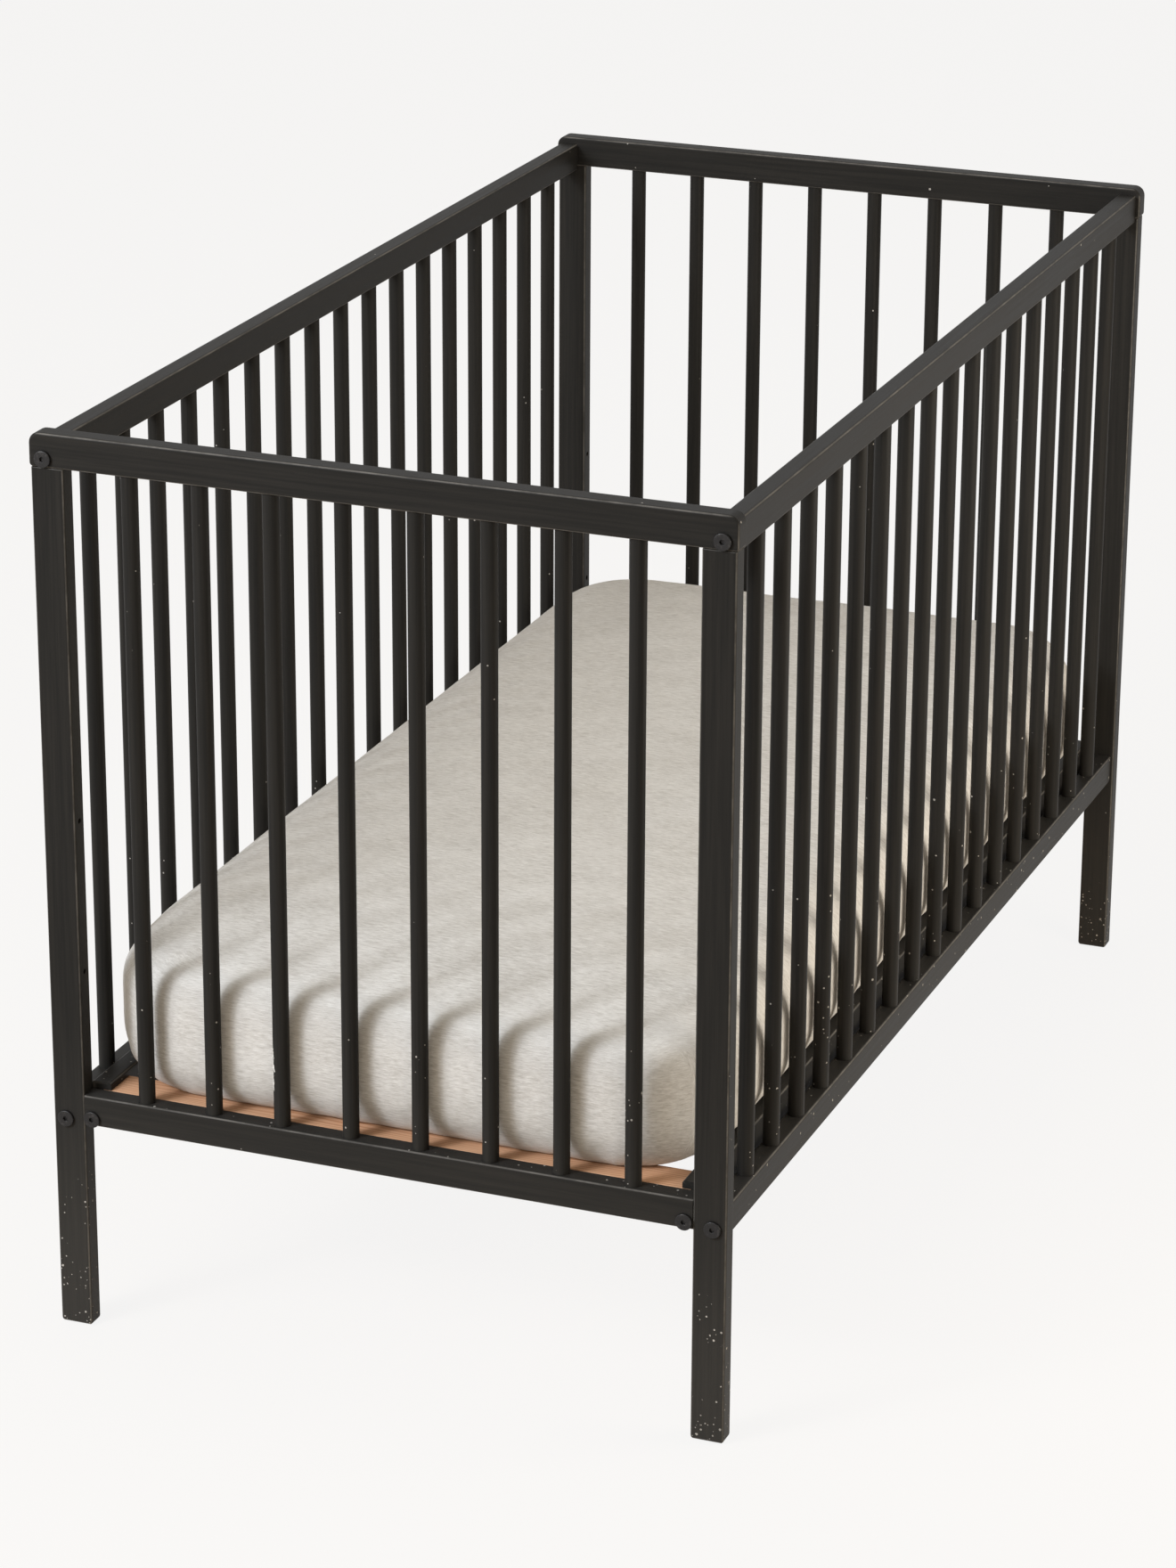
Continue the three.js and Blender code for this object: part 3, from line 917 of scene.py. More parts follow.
@dataclass(frozen=True)
class SpindleRow(Row):
    """A row of upright round spindles, each standing on its place."""

    length: float
    diameter: float
    sides: int = 40
    seed: int = 3

    def build(self, material: Material) -> Object:
        """Makes the row.

        Args:
            material: The finish, with its grain along Z.

        Returns:
            The piece.
        """
        tree, places = self.laid_out(material)
        axis = tree.out("GeometryNodeCurvePrimitiveLine", (0, 0, 0), tree.xyz(0.0, 0.0, tree["length"]))
        radius = tree["diameter"] * 0.5
        circle = tree.out("GeometryNodeCurvePrimitiveCircle", tree["sides"], Radius=radius)
        spindle = tree.out("GeometryNodeCurveToMesh", axis, circle, Fill_Caps=True)
        spin = tree.xyz(0.0, 0.0, tree.chance(WHOLE_TURN))
        placed = tree.out("GeometryNodeInstanceOnPoints", places, Instance=spindle, Rotation=spin)
        return smoothed(tree.made(placed), weighted=False)


@dataclass(frozen=True)
class SlatRow(Row):
    """A row of flat cross slats about their places, with softened edges, each a little different in tone."""

    width: float  # along X
    length: float  # along Y
    thickness: float
    edge: float = 0.0015
    seed: int = 11

    def build(self, material: Material) -> Object:
        """Makes the row.

        Args:
            material: The finish, with its grain along Y.

        Returns:
            The piece.
        """
        tree, places = self.laid_out(material)
        section = tree.out("GeometryNodeCurvePrimitiveQuadrilateral", tree["width"], tree["thickness"])
        soft = tree.out("GeometryNodeFilletCurve", section, mode="POLY", Count=4, Radius=tree["edge"])
        filled = tree.out("GeometryNodeFillCurve", soft, mode="NGONS")
        slat = tree.out("GeometryNodeExtrudeMesh", filled, mode="FACES", Offset_Scale=tree["length"])
        both = tree.joined(slat, tree.out("GeometryNodeFlipFaces", filled))
        centred = tree.moved(both, Translation=tree.xyz(0.0, 0.0, tree["length"] * -0.5))
        laid = tree.moved(centred, Rotation=(math.pi / 2, 0, 0))
        placed = tree.out("GeometryNodeInstanceOnPoints", places, Instance=laid)
        kept = {"data_type": "FLOAT", "domain": "INSTANCE", "Name": "tone", "Value": tree.chance()}
        return smoothed(tree.made(tree.out("GeometryNodeStoreNamedAttribute", placed, **kept)))


@dataclass(frozen=True)
class BoltPlace:
    """Where one joint bolt goes."""

    seat: Vector  # middle of the head's underside
    inward: int  # the way along X that the shank runs
    reach: float  # length of the shank
    nut: float  # from the seat to the nut's axis, or 0 for no nut
    nut_foot: float  # the nut's lower end above the shank's axis


@dataclass(frozen=True)
class BoltSet:
    """Joint bolts with flat round heads, hexagon sockets, and barrel nuts on their shanks."""

    name: str
    head_diameter: float
    head_height: float
    head_edge: float = 0.0009
    socket_width: float = 0.004
    socket_depth: float = 0.0018
    socket_lip: float = 0.0004
    shank_diameter: float = 0.006
    nut_diameter: float = 0.010
    nut_length: float = 0.018
    sides: int = 48
    seed: int = 5

    def rod(self, tree: Repeat, radius: Wire, length: object, sides: object = 28) -> tuple[Wire, Wire]:
        """A round rod that stands on the origin, and the selection of its top face.

        Args:
            tree: The tree.
            radius: Its radius.
            length: Its length.
            sides: How many sides it has.

        Returns:
            The rod and the selection.
        """
        sizes = {"Vertices": sides, "Radius": radius, "Depth": length}
        rod = tree.outs("GeometryNodeMeshCylinder", fill_type="NGON", **sizes)
        lift = tree.xyz(0.0, 0.0, tree.maths("MULTIPLY", length, 0.5))
        return tree.moved(rod["Mesh"], Translation=lift), rod["Top"]

    def head(self, tree: Repeat) -> Wire:
        """The head's nodes: a disc, its rounded rim, and a hexagon sunk in its face.

        Args:
            tree: The tree.

        Returns:
            The head, with its face up and its seat at the origin.
        """
        radius, edge, lip = tree["head_diameter"] * 0.5, tree["head_edge"], tree["socket_lip"]
        shape, face = self.rod(tree, radius, tree["head_height"] - edge, tree["sides"])
        rounds = [math.pi / 2 * k / 4 for k in range(5)]
        for before, after in zip(rounds, rounds[1:]):
            shape, face = self.pushed(tree, shape, face, edge * (math.sin(after) - math.sin(before)))
            was, now = (radius - edge * (1 - math.cos(turn)) for turn in (before, after))
            shape = tree.out("GeometryNodeScaleElements", shape, face, now / was)
        flat = tree["socket_width"] * 0.5
        shape, face = self.pushed(tree, shape, face, 0.0)
        shape = self.hexagon(tree, shape, face, flat + lip)
        shape, face = self.pushed(tree, shape, face, lip * -1)
        shape = self.hexagon(tree, shape, face, flat)
        return self.pushed(tree, shape, face, tree["socket_depth"] * -1)[0]

    def pushed(self, tree: Repeat, shape: Wire, face: Wire, far: object) -> tuple[Wire, Wire]:
        """Extrudes one face along its normal.

        Args:
            tree: The tree.
            shape: The head so far.
            face: The selection of the face.
            far: How far it moves.

        Returns:
            The head and the selection of the moved face.
        """
        how = {"mode": "FACES", "Offset_Scale": far, "Individual": False}
        moved = tree.outs("GeometryNodeExtrudeMesh", shape, face, **how)
        return moved["Mesh"], moved["Top"]

    def hexagon(self, tree: Repeat, shape: Wire, face: Wire, flat: Wire) -> Wire:
        """Draws the corners of a round face in to a hexagon.

        Args:
            tree: The tree.
            shape: The head so far.
            face: The selection of the round face.
            flat: From the hexagon's middle to a side.

        Returns:
            The head.
        """
        x, y, z = tree.parts(tree.out("GeometryNodeInputPosition"))
        angle = tree.maths("ARCTAN2", y, x)
        sixth = tree.maths("MODULO", angle + WHOLE_TURN, math.pi / 3) - math.pi / 6
        radius = flat / tree.maths("COSINE", sixth)
        spot = tree.xyz(*(radius * tree.maths(part, angle) for part in ("COSINE", "SINE")), z)
        return tree.out("GeometryNodeSetPosition", shape, Selection=face, Position=spot)

    def build(self, places: Sequence[BoltPlace], material: Material) -> Object:
        """Makes all the bolts.

        Args:
            places: Where they go.
            material: The finish.

        Returns:
            The piece.
        """
        start = made_object(self.name, [p.seat for p in places], [], material)
        tree = Repeat(**vars(self), material=material)
        read = {}
        for key in ("inward", "reach", "nut", "nut_foot"):
            layer = start.data.attributes.new(key, "FLOAT", "POINT")
            layer.data.foreach_set("value", [float(getattr(p, key)) for p in places])
            read[key] = tree.out("GeometryNodeInputNamedAttribute", key)
        points = tree.out("GeometryNodeMeshToPoints", Wire(tree, tree.given[0]))

        def set_on(shape: Wire, **ways: object) -> Wire:
            """A shape on the place of each bolt."""
            return tree.out("GeometryNodeInstanceOnPoints", points, Instance=shape, **ways)

        facing = tree.xyz(0.0, read["inward"] * (-math.pi / 2), 0.0)
        heads = set_on(self.head(tree), Rotation=facing)
        spin = {"Rotation": tree.xyz(0.0, 0.0, tree.chance(math.pi)), "Local_Space": True}
        turned = tree.out("GeometryNodeRotateInstances", heads, **spin)
        shank = self.rod(tree, tree["shank_diameter"] * 0.5, 1.0)[0]
        away = tree.vectors("MULTIPLY", facing, (-1, -1, -1))
        shanks = set_on(shank, Rotation=away, Scale=tree.xyz(1.0, 1.0, read["reach"]))
        nut = self.rod(tree, tree["nut_diameter"] * 0.5, tree["nut_length"])[0]
        nuts = set_on(nut, Selection=read["nut"])
        seat = tree.xyz(read["inward"] * read["nut"], 0.0, read["nut_foot"])
        moved = tree.out("GeometryNodeTranslateInstances", nuts, Translation=seat, Local_Space=False)
        return smoothed(tree.made(tree.joined(turned, shanks, moved), start), sharp=50)


# ---- The crib ----


def stands_for(piece: Object, body: str, slot: str, *nodes: str) -> None:
    """Puts a piece on its body in place of nodes of the model, and reports it.

    Args:
        piece: The finished piece.
        body: The body that it rides on.
        slot: The record's material slot of its finish. Not used.
        nodes: The nodes that it stands for.
    """
    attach(piece, body)
    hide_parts(*nodes)
    piece.data.calc_loop_triangles()
    log.info("%s on %s: %d triangles", piece.name, body, len(piece.data.loop_triangles))


def joinery(body: str, stain: Material, bar: Bar, nodes: Sequence[str], tools: Sequence[Object] = ()) -> None:
    """Makes a black wooden bar with its holes in place of some nodes.

    Args:
        body: The body that it rides on.
        stain: Its finish.
        bar: The bar.
        nodes: The nodes that it stands for.
        tools: What is cut out of it.
    """
    stands_for(bar.finished(cut(bar.build(stain), tools)), body, "black_stained_wood", *nodes)


@dataclass(frozen=True)
class Stains:
    """The black stain for each way that the grain runs."""

    x: Material
    y: Material
    z: Material


@dataclass
class CribEnd:
    """One end: two posts, a top rail over them, a bottom rail between them, and a row of spindles."""

    end: End
    stains: Stains
    spindle_finish: Material
    foot_edge: float = 0.004
    post_top_edge: float = 0.001
    post_top_gap: float = 0.00005  # under the top rail
    rail_edge: float = 0.0025
    top_rail_corner: float = 0.010
    top_rail_lower_corner: float = 0.0035
    spindle_count: int = 8
    spare_hole_diameter: float = 0.005
    spare_hole_depth: float = 0.012
    spare_hole_heights: tuple[float, ...] = (0.349, 0.493)

    def posts(self) -> None:
        """Makes the two posts with their spare holes."""
        rail_low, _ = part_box(f"{label(self.end)}_top_rail")
        for side in Side:
            node = f"{label(self.end)}_{label(side)}_post"
            low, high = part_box(node)
            high.z = rail_low.z - self.post_top_gap
            ends = {"start_edge": self.foot_edge, "end_edge": self.post_top_edge}
            bar = Bar(node + "_wood", low, high, Axis.Z, **ends)
            inner = low.y if side is Side.BACK else high.y
            holes = []
            for z in self.spare_hole_heights:
                spots = ((inner + side.value * depth, z) for depth in (self.spare_hole_depth, -HAIR))
                floor, mouth = (Vector(((low.x + high.x) / 2, *spot)) for spot in spots)
                holes.append(cylinder_tool(floor, mouth, self.spare_hole_diameter))
            joinery("frame", self.stains.z, bar, [node], holes)

    def rails(self) -> None:
        """Makes the top rail, rounded in outline at its upper corners, and the bottom rail."""
        outlined = {
            "edge": self.top_rail_corner,
            "lower_edge": self.top_rail_lower_corner,
            "start_edge": self.rail_edge,
            "end_edge": self.rail_edge,
            "steps": 7,
        }
        for level, sweep, sizes in (("top", Axis.X, outlined), ("bottom", Axis.Y, {"edge": self.rail_edge})):
            node = f"{label(self.end)}_{level}_rail"
            joinery("frame", self.stains.y, Bar(node + "_wood", *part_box(node), sweep, **sizes), [node])

    def spindles(self) -> None:
        """Makes the row of spindles."""
        nodes = [f"{label(self.end)}_spindle_{k + 1}" for k in range(self.spindle_count)]
        boxes = sorted((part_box(node) for node in nodes), key=lambda pair: pair[0].y)
        first, last = (Vector(((a.x + b.x) / 2, (a.y + b.y) / 2, a.z)) for a, b in (boxes[0], boxes[-1]))
        low, high = boxes[0]
        size = high - low
        row = SpindleRow(f"{label(self.end)}_spindles", first, last, len(nodes), size.z, size.x)
        stands_for(row.build(self.spindle_finish), "frame", "black_stained_wood", *nodes)

    def build(self) -> None:
        """Makes the whole end."""
        self.posts()
        self.rails()
        self.spindles()


@dataclass
class CribSide:
    """One long side: a top rail, a bottom rail and a row of spindles."""

    side: Side
    stains: Stains
    rail_height: float = 0.029
    spindle_count: int = 17
    spindle_diameter: float = 0.015
    spindle_end_gap: float = 0.0561
    socket_depth: float = 0.009
    nut_hole_diameter: float = 0.0106
    nut_hole_depth: float = 0.0193
    nut_distance: float = 0.032
    first_seed: int = 7

    def rail(self, name: str, low: Vector, high: Vector, node: str) -> None:
        """Makes a rail with the holes for its barrel nuts.

        Args:
            name: The piece's name.
            low: Its lowest corner.
            high: Its highest corner.
            node: The node that it stands for.
        """
        holes = []
        for x in (low.x + self.nut_distance, high.x - self.nut_distance):
            foot = Vector((x, (low.y + high.y) / 2, low.z - HAIR))
            top = foot + Vector((0, 0, self.nut_hole_depth + HAIR))
            holes.append(cylinder_tool(foot, top, self.nut_hole_diameter))
        joinery("frame", self.stains.x, Bar(name, low, high, Axis.X), [node], holes)

    def build(self) -> None:
        """Makes the whole side."""
        side = label(self.side)
        self.rail(f"{side}_top_rail_wood", *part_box(f"{side}_top_rail"), f"{side}_top_rail")
        railing = f"{side}_railing"
        low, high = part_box(railing)
        rail_top = Vector((high.x, high.y, low.z + self.rail_height))
        self.rail(f"{side}_bottom_rail_wood", low, rail_top, railing)
        reach = high.x - self.spindle_end_gap - self.spindle_diameter / 2
        foot = rail_top.z - self.socket_depth
        first, last = (Vector((x, (low.y + high.y) / 2, foot)) for x in (-reach, reach))
        sizes = (self.spindle_count, high.z - foot, self.spindle_diameter)
        row = SpindleRow(f"{side}_spindles", first, last, *sizes, seed=self.first_seed + self.side.value)
        stands_for(row.build(self.stains.z), "frame", "black_stained_wood", railing)


@dataclass
class JointBolts:
    """The twelve bolts that draw the ends onto the sides and the base."""

    finish: Material
    head_height: float = 0.0028
    head_diameter: float = 0.0155
    nut_distance: float = 0.032
    end_rail_depth: float = 0.020
    post_depth: float = 0.019
    nut_below_axis: tuple[tuple[str, float], ...] = (("top", 0.012), ("bottom", 0.0105))

    def places(self) -> Iterable[tuple[str, BoltPlace]]:
        """Finds where each bolt goes.

        Returns:
            The node and the place of each one.
        """
        below = dict(self.nut_below_axis)
        for end in End:
            for side in Side:
                for level in ("top", "bottom", "base"):
                    node = f"{label(end)}_{label(side)}_{level}_bolt"
                    low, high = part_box(node)
                    outer, inner = (low.x, high.x) if end is End.FOOT else (high.x, low.x)
                    seat_x, axis_z = outer - end.value * self.head_height, high.z - self.head_diameter / 2
                    seat = Vector((seat_x, (low.y + high.y) / 2, axis_z))
                    through = self.post_depth if level == "bottom" else self.end_rail_depth
                    nut = through + self.nut_distance if level in below else 0.0
                    yield node, BoltPlace(seat, -end.value, abs(inner - seat.x), nut, -below.get(level, 0.0))

    def build(self) -> None:
        """Makes all the bolts as one piece."""
        found = dict(self.places())
        bolts = BoltSet("joint_bolts", self.head_diameter, self.head_height)
        stands_for(bolts.build(list(found.values()), self.finish), "frame", "black_steel", *found)


@dataclass
class SlattedBase:
    """The mattress base: two long rails and the cross slats let into them."""

    stain: Material
    slat_finish: Material
    slat_count: int = 13
    slot_gap: float = 0.0003
    bolt_hole_diameter: float = 0.0066
    bolt_hole_depth: float = 0.040
    bolt_hole_sides: int = 20
    bolt_rise: float = 0.0095

    def rails(self, slats: Sequence[tuple[Vector, Vector]]) -> None:
        """Makes the two rails, with a slot for each slat and a bolt hole in each end.

        Args:
            slats: The corners of every slat.
        """
        gap = Vector((self.slot_gap, self.slot_gap, self.slot_gap))
        for side in Side:
            node = f"base_{label(side)}_rail"
            low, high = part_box(node)
            tools = [box_tool(a - gap, b + gap) for a, b in slats]
            for end, inward in ((low.x, 1), (high.x, -1)):
                start, stop = (
                    Vector((end + inward * depth, (low.y + high.y) / 2, low.z + self.bolt_rise))
                    for depth in (-HAIR, self.bolt_hole_depth)
                )
                tools.append(cylinder_tool(start, stop, self.bolt_hole_diameter, self.bolt_hole_sides))
            joinery("base", self.stain, Bar(node + "_wood", low, high, Axis.X), [node], tools)

    def build(self) -> None:
        """Makes the whole base."""
        nodes = [f"base_slat_{k + 1}" for k in range(self.slat_count)]
        slats = sorted(map(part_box, nodes), key=lambda pair: pair[0].x)
        self.rails(slats)
        first, last = ((low + high) / 2 for low, high in (slats[0], slats[-1]))
        size = slats[0][1] - slats[0][0]
        row = SlatRow("base_slats", first, last, len(nodes), size.x, size.y, size.z)
        stands_for(row.build(self.slat_finish), "base", "natural_wood", *nodes)


@dataclass(frozen=True)
class SoftBlock:
    """The form of a mattress: rounded in plan and along its edges, with a crowned top."""

    middle: Vector  # of the block without its crown
    half: Point  # half of its length, width and thickness without the crown
    crown: float
    corner: float = 0.100  # in plan
    upper: float = 0.058  # rounding along the upper edges
    upper_end: float = 0.028  # how far that rounding reaches in from the ends
    lower: float = 0.053  # rounding along the lower edges
    lower_end: float = 0.021  # how far that rounding reaches in from the ends
    end_squareness: float = 0.6  # less than 1 fills the upper rounding of the ends out
    foot_slump: float = 0.018  # how far the top lies lower at the foot
    head_slump: float = 0.003
    slump_reach: float = 0.150  # in from the ends
    slump_full: float = 0.015  # the last of that reach, where it is all there
    slump_depth: float = 0.050  # down from the top
    corner_slump: float = 0.004
    bulge: float = 0.0028  # of the foot face, between its spindles and the mattress
    bulge_reach: float = 0.060  # up and down from the middle of that face
    unevenness: float = 0.0022  # of the top
    lumps: Point = (6.5, 9.0, 0)  # how many to the metre, along, across and up

    def grown(self, offset: float) -> SoftBlock:
        """The block with a skin laid round it.

        Args:
            offset: How thick the skin is.

        Returns:
            The larger block.
        """
        names = ("corner", "upper", "upper_end", "lower", "lower_end")
        more = {name: getattr(self, name) + offset for name in names}
        return replace(self, half=tuple(h + offset for h in self.half), **more)

    def grid(self, name: str, cell: float, material: Material) -> Object:
        """Makes the block as an even net of squares, still square at its edges.

        Args:
            name: The object's name.
            cell: The size of the squares.
            material: Its material.

        Returns:
            The net, about the origin.
        """
        size = Vector(self.half) * 2
        along, across, up = (round(side / cell) + 1 for side in size)
        tree = Repeat(name, size=size, along=along, across=across, up=up, material=material)
        sides = (tree[key] for key in ("size", "along", "across", "up"))
        return tree.made(tree.out("GeometryNodeMeshCube", *sides))

    def flat(self, spots: np.ndarray, way: Vector) -> np.ndarray:
        """Where points of one face of the square block lie on the flat cut of a cloth drawn over it.

        Args:
            spots: The points.
            way: The way that the face looks.

        Returns:
            Their places along the length and the width, in metres.
        """
        laid = spots[:, :2].copy()
        if abs(way.z) < 0.5:
            axis = 0 if abs(way.x) > 0.5 else 1
            laid[:, axis] += np.sign(laid[:, axis]) * (self.half[2] - spots[:, 2])
        elif way.z < 0:
            centre = spots.mean(axis=0)
            axis = 0 if self.half[0] - abs(centre[0]) < self.half[1] - abs(centre[1]) else 1
            turned = 2 * (self.half[axis] + self.half[2]) - np.abs(laid[:, axis])
            laid[:, axis] = math.copysign(1, centre[axis]) * turned
        return laid

    def wrapped(self, spots: np.ndarray) -> np.ndarray:
        """Moves points of the square block onto the mattress's form.

        Args:
            spots: Points of the square block, about its middle.

        Returns:
            The points of the form, in the crib's frame.
        """
        half, least = np.array(self.half), 1e-6
        ways = np.where(spots < 0, -1.0, 1.0)
        away = np.maximum(half[:2] - np.abs(spots[:, :2]), 0)
        ring, beside = away.min(axis=1), np.abs(away[:, 0] - away[:, 1])
        above, flat = spots[:, 2] > 0, np.abs(spots[:, 2]) > half[2] - least
        path = np.where(flat, half[2] + ring, np.abs(spots[:, 2]))
        rounding = np.where(above, self.upper, self.lower)
        angle = np.clip((path - half[2] + rounding) / (2 * rounding), 0, 1) * math.pi / 2
        insets = []
        reaches = ((self.upper_end, self.lower_end, self.end_squareness), (self.upper, self.lower, 1))
        for upper, lower, fill in reaches:
            squareness = np.where(above, fill, 1.0)
            inset = np.where(above, upper, lower) * (1 - np.cos(angle) ** squareness)
            insets.append(inset + np.maximum(ring - rounding, 0) * flat)
        radius = np.maximum(self.corner - insets[1], least)
        extent = np.maximum(self.corner - ring, least)
        turn = math.pi / 4 * (1 - np.clip(beside / extent, 0, 1))
        straight = np.maximum(beside - extent, 0)
        by_end = away[:, 0] <= away[:, 1]
        made = np.empty_like(spots)
        made[:, 2] = np.minimum(path, half[2] - rounding) + rounding * np.sin(angle)
        for axis, close in ((0, by_end), (1, ~by_end)):
            corner = half[axis] - insets[axis] - radius
            run = np.maximum(half[axis] - np.maximum(self.corner, ring), least)
            along = corner * (1 - straight / run) + radius * np.sin(turn)
            made[:, axis] = np.where(close, corner + radius * np.cos(turn), along)
        share = np.clip(made[:, :2] / (half[:2] - self.upper * 0.4), 0, 1)
        swell = (1 - share[:, 0] ** 6) * (1 - share[:, 1] ** 2.4)
        made *= ways
        made[:, 2] += np.where(above & flat, self.crown * swell, 0)
        return self.settled(made) + np.array(self.middle)

    def settled(self, made: np.ndarray) -> np.ndarray:
        """Lets the top sink towards the ends and swells the foot face a little.

        Args:
            made: Points of the form, about its middle.

        Returns:
            The points where they settle.
        """
        foot = made[:, 0] < 0
        ends = np.abs(made[:, 0]) - self.half[0] + self.slump_reach
        near = smooth(ends / (self.slump_reach - self.slump_full))
        wide = np.clip(np.abs(made[:, 1]) / self.half[1], 0, 1) ** 4
        depth = np.where(foot, self.foot_slump + self.corner_slump * wide, self.head_slump)
        high = np.clip((made[:, 2] - self.half[2] + self.slump_depth + 0.001) / self.slump_depth, 0, 1) ** 1.3
        made[:, 2] -= depth * near * high
        round_face = np.clip(1 - (made[:, 2] / self.bulge_reach) ** 2, 0, 1)
        face = smooth((0.050 - self.half[0] - made[:, 0]) / 0.045) * round_face
        made[:, 0] -= self.bulge * face * np.clip(1.6 - 1.6 * wide, 0, 1)
        level = np.clip(made[:, 2] / self.half[2], 0, 1) ** 4
        made[:, 2] += level * self.unevenness * noises(made * self.lumps)
        return made


@dataclass
class Bedding:
    """The mattress and the fitted sheet drawn over it."""

    cover: Material
    cloth: Material
    crown: float = 0.012
    fill: float = 0.95
    hem: float = 0.070  # turned in below
    sheet_gap: float = 0.0013  # from the mattress to the outside of the sheet
    sheet_thickness: float = 0.0008
    pucker: float = 0.0045  # above the hem
    pucker_top: float = -0.014  # where they start, above the middle of the block
    pucker_fade: float = 0.040
    corner_reach: float = 0.16  # in from the ends
    folds: Point = (38, 38, 9)  # how many to the metre, along, across and up
    creases: Point = (95, 95, 30)
    core_cell: float = 0.016
    sheet_cell: float = 0.0085

    def block(self) -> SoftBlock:
        """The mattress's form.

        Returns:
            The block that fills the model's own box.
        """
        low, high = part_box("mattress")
        high.z -= self.crown
        return SoftBlock((low + high) / 2, tuple((b - a) / 2 for a, b in zip(low, high)), self.crown)

    def mattress(self) -> None:
        """Makes the mattress core in its cover."""
        block = self.block()
        core = block.grid("mattress_core", self.core_cell, self.cover)
        reshape(core, block.wrapped(points_of(core)))
        core.data.shade_smooth()
        fine = core.modifiers.new("fine", "SUBSURF")
        fine.levels = fine.render_levels = 1
        baked(core)
        stands_for(core, "mattress", "mattress_cover", "mattress")

    def sheet(self) -> None:
        """Makes the fitted sheet over the mattress."""
        block = self.block().grown(self.sheet_gap)
        cloth = block.grid("jersey_sheet", self.sheet_cell, self.cloth)
        spots = points_of(cloth)
        inner = np.array([h - self.hem for h in block.half[:2]])
        opening = (spots[:, 2] < 1e-6 - block.half[2]) & (np.abs(spots[:, :2]) < inner).all(axis=1)
        mend(cloth.data, doomed=np.flatnonzero(opening))
        spots = points_of(cloth)
        span = self.lay_out(cloth, block, spots)
        reshape(cloth, block.wrapped(spots))
        self.gather(cloth, block)
        cloth.data.shade_smooth()
        thick = cloth.modifiers.new("thick", "SOLIDIFY")
        thick.thickness, thick.offset = self.sheet_thickness, -1
        baked(cloth)
        stands_for(cloth, "mattress", "sheet_jersey", "fitted_sheet")
        deep, wide = (side / 2 - half for side, half in zip(span, block.half))
        area = span[0] * span[1] - 4 * deep * wide
        span[1]
        span[0]

    def gather(self, cloth: Object, block: SoftBlock) -> None:
        """Puckers the cloth a little above its elastic hem, most of all at the corners.

        Args:
            cloth: The cloth, wrapped round the block.
            block: The block.
        """
        spots, ways = points_of(cloth), points_of(cloth, "normal")
        local = spots - np.array(block.middle)
        low = smooth((self.pucker_top - local[:, 2]) / self.pucker_fade) * np.clip(1.2 + ways[:, 2], 0, 1)
        end = np.abs(local[:, 0]) - block.half[0] + self.corner_reach
        corner = smooth(end / 0.14) * smooth(np.abs(local[:, 1]) / 0.24)
        ridges = np.clip(0.5 + 0.9 * noises(spots * self.folds), 0, 1)
        ridges += 0.6 * np.clip(noises(spots * self.creases), 0, 1)
        height = self.pucker * low * ridges * (0.55 + 0.45 * corner)
        reshape(cloth, spots + ways * height[:, None])

    def lay_out(self, cloth: Object, block: SoftBlock, spots: np.ndarray) -> tuple[float, float]:
        """Gives the cloth its flat layout as a UV map.

        Args:
            cloth: The cloth, still square at its edges.
            block: The block that it is drawn over.
            spots: Its points.

        Returns:
            The length and width of the flat cut.
        """
        layer = cloth.data.uv_layers.new(name="cloth")
        places = np.zeros((len(cloth.data.loops), 2))
        for polygon in cloth.data.polygons:
            places[list(polygon.loop_indices)] = block.flat(spots[list(polygon.vertices)], polygon.normal)
        layer.data.foreach_set("uv", places.ravel())
        return tuple(float(side) for side in np.ptp(places, axis=0))

    def build(self) -> None:
        """Makes the bedding."""
        self.mattress()
        self.sheet()


# ---- Studio ----


@dataclass(frozen=True)
class Lamp:
    """A soft round lamp that looks at the crib."""

    name: str
    way: Point  # from the crib to it
    distance: float
    size: float
    power: float
    colour: Colour

    def hang(self) -> None:
        """Hangs the lamp."""
        data = bpy.data.lights.new(self.name, "AREA")
        data.shape, data.size, data.energy, data.color = "DISK", self.size, self.power, self.colour
        lamp = bpy.data.objects.new(self.name, data)
        bpy.context.scene.collection.objects.link(lamp)
        low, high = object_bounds()
        middle = (low + high) / 2
        place = middle + Vector(self.way).normalized() * self.distance
        turned = (middle - place).to_track_quat("-Z", "Y").to_matrix().to_4x4()
        lamp.matrix_world = Matrix.Translation(place) @ turned


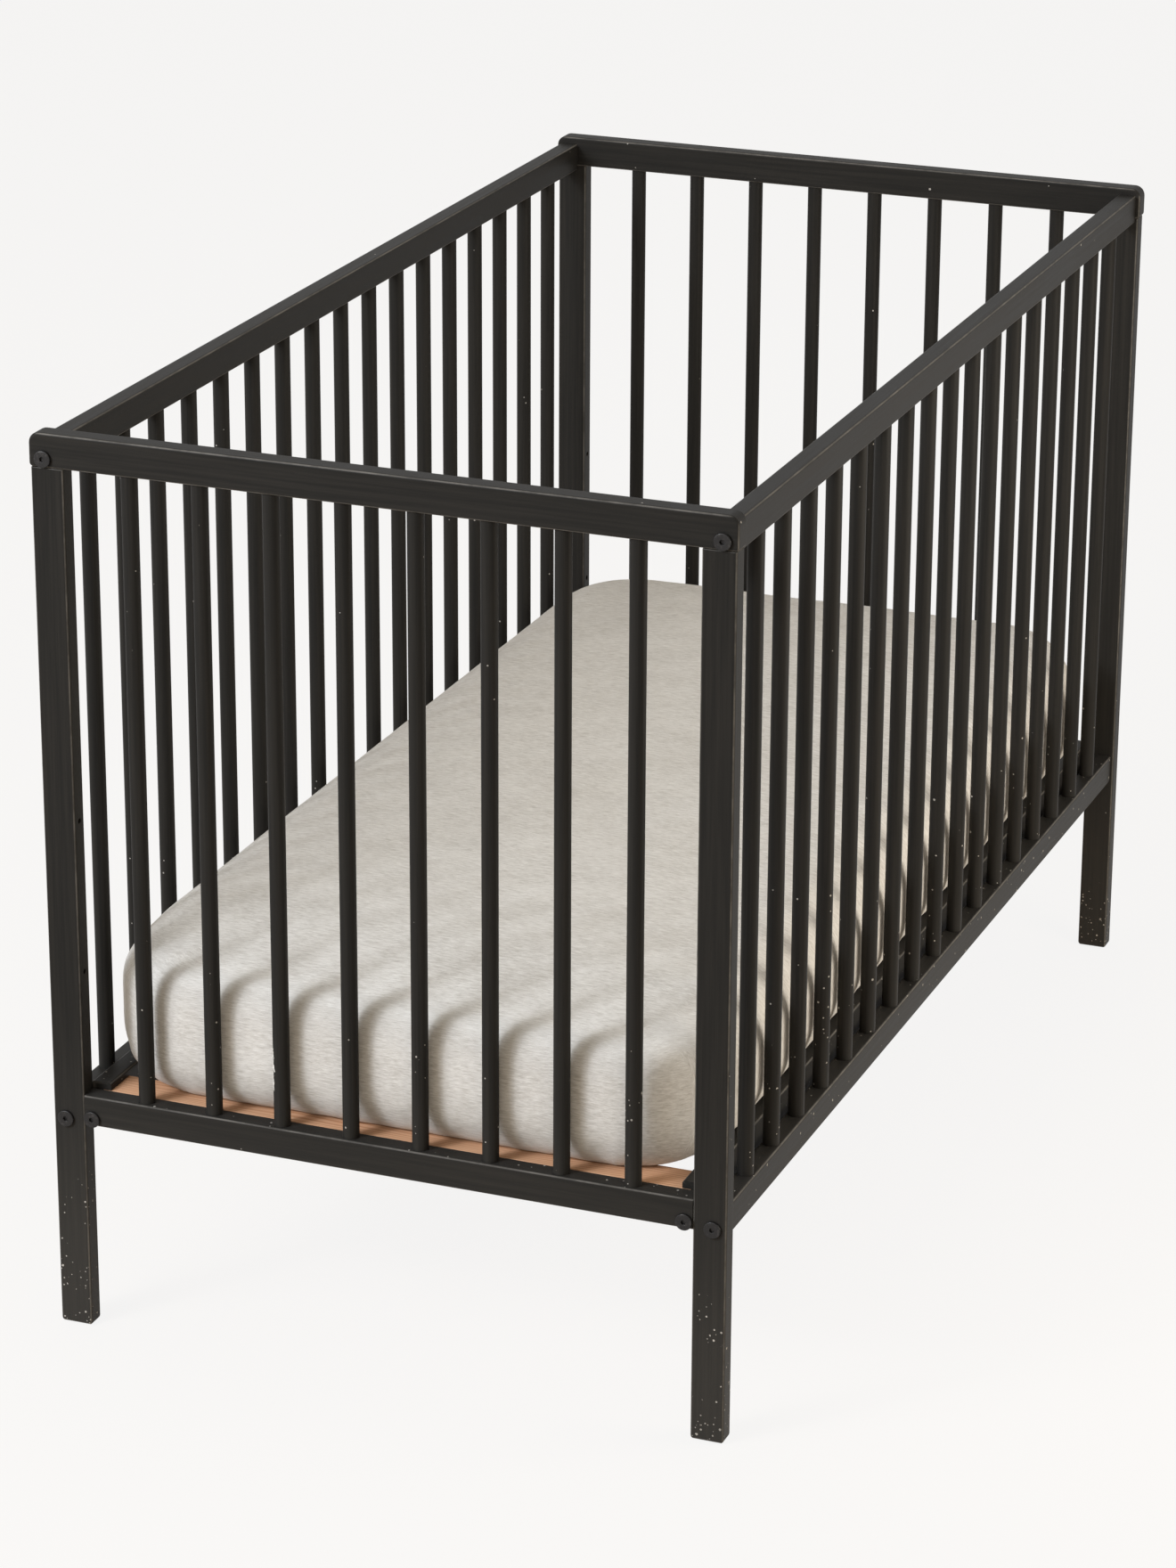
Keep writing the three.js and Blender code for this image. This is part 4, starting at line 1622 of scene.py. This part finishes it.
@dataclass(frozen=True)
class Studio:
    """The camera, the pale floor and backdrop, and the lights."""

    camera_place: Point = (-4.183283, -1.580426, 2.022066)
    backwards: Point = (-0.87310342, -0.34030552, 0.34911686)
    azimuth: float = -68.71
    roll: float = 0.29
    lens: float = 111.25
    sensor: float = 36.0
    paper: Colour = (0.913, 0.913, 0.913)
    floor_paper: float = 1.06  # the floor as it is seen, as a share of the paper
    floor_seen: float = 0.90  # how much of the floor's own light hides the shadows on it
    floor_lit: Colour = (0.62, 0.53, 0.43)
    floor_reach: float = 30.0
    floor_drop: float = 0.0002
    sky: Colour = (1.0, 0.90, 0.75)
    sky_strength: float = 0.57
    lamps: tuple[Lamp, ...] = (
        Lamp("key", (-0.740, 0.440, 0.480), 4.2, 0.55, 40.0, (0.88, 0.93, 1.0)),
        Lamp("key_halo", (-0.740, 0.440, 0.480), 4.2, 2.2, 122.0, (0.86, 0.92, 1.0)),
        Lamp("side", (-0.10, -1.20, 0.20), 1.35, 0.9, 12.0, (1.0, 0.93, 0.82)),
        Lamp("overhead", (0.0, 0.15, 1.0), 3.0, 1.4, 14.0, (1.0, 0.95, 0.88)),
    )

    def camera(self) -> None:
        """Sets the camera."""
        turn, tilt = math.radians(self.azimuth), math.radians(self.roll)
        right = Vector((math.cos(turn), math.sin(turn), 0))
        back = Vector(self.backwards).normalized()
        up = back.cross(right)
        across = math.cos(tilt) * right + math.sin(tilt) * up
        upward = -math.sin(tilt) * right + math.cos(tilt) * up
        data = bpy.data.cameras.new("camera")
        data.lens, data.sensor_width = self.lens, self.sensor
        data.clip_start, data.clip_end = 0.1, 100
        camera = bpy.data.objects.new("camera", data)
        bpy.context.scene.collection.objects.link(camera)
        turned = Matrix((across, upward, back)).transposed().to_4x4()
        camera.matrix_world = Matrix.Translation(self.camera_place) @ turned
        bpy.context.scene.camera = camera

    def seen_by_camera(self, bench: Bench) -> Wire:
        """Tells what is seen from what is only lit by.

        Args:
            bench: The tree.

        Returns:
            1 for what the camera, a mirror or glass sees, and 0 for the light itself.
        """
        rays = bench.outs("ShaderNodeLightPath")
        direct = bench.maths("MAXIMUM", rays["Is Camera Ray"], rays["Is Transmission Ray"])
        return bench.maths("MAXIMUM", direct, rays["Is Glossy Ray"])

    def world(self) -> None:
        """Sets the even light from all round and the pale backdrop."""
        world = bpy.data.worlds.new("studio")
        bpy.context.scene.world = world
        world.use_nodes = True
        bench = Bench(world.node_tree)
        around = bench.out("ShaderNodeBackground", self.sky, self.sky_strength)
        paper = bench.out("ShaderNodeBackground", self.paper, 1.0)
        mixed = bench.out("ShaderNodeMixShader", self.seen_by_camera(bench), around, paper)
        bench.node("ShaderNodeOutputWorld", mixed)

    def floor(self) -> None:
        """Lays the pale floor, which keeps a soft share of the crib's shadow."""
        z, reach = min(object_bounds()[0].z, 0.0) - self.floor_drop, self.floor_reach
        points = [(-reach, -reach, z), (reach, -reach, z), (reach, reach, z), (-reach, reach, z)]
        material = bpy.data.materials.new("floor_paper")
        material.use_nodes = True
        bench = Bench(material.node_tree)
        lit = bench.out("ShaderNodeBsdfDiffuse", self.floor_lit)
        bright = bench.out("ShaderNodeEmission", self.paper, self.floor_paper)
        mixed = bench.out("ShaderNodeMixShader", self.seen_by_camera(bench) * self.floor_seen, lit, bright)
        bench.node("ShaderNodeOutputMaterial", mixed)
        made_object("floor", points, [(0, 1, 2, 3)], material)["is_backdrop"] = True

    def build(self) -> None:
        """Sets the studio up."""
        bpy.context.scene.view_settings.view_transform = "Standard"
        self.camera()
        self.world()
        self.floor()
        for lamp in self.lamps:
            lamp.hang()


def write_sizes(before: tuple[Vector, Vector], after: tuple[Vector, Vector]) -> None:
    """Puts the model's box and the dressed crib's box into a table, which is then dropped.

    Args:
        before: The corners of the model's box.
        after: The corners of the dressed crib's.
    """
    sizes = {name: [list(corner) for corner in box] for name, box in (("cad", before), ("visual", after))}


def main() -> None:
    """Builds the crib in the studio."""
    logging.basicConfig(level=logging.INFO, format="%(name)s: %(message)s")
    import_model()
    model_box = tuple(corner.copy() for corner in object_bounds())
    stains = Stains(*(BlackStain(axis).material(f"black_stain_{label(axis)}") for axis in Axis))
    low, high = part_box(CHIPPED_SPINDLE)
    chip = (low + high) / 2 + CHIP_WAY * (high.x - low.x) / 2
    chipped = BlackStain(Axis.Z, chip=(chip.x, chip.y, CHIP_HEIGHT)).material("black_stain_chipped")
    for end in End:
        CribEnd(end, stains, chipped if end is End.FOOT else stains.z).build()
    for side in Side:
        CribSide(side, stains).build()
    JointBolts(BlackSteel().material("black_steel")).build()
    SlattedBase(stains.x, PaleWood().material("pale_slat_wood")).build()
    Bedding(Ticking().material("mattress_ticking"), Jersey().material("heathered_jersey")).build()
    Studio().build()
    write_sizes(model_box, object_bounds())


if __name__ == "__main__":
    main()
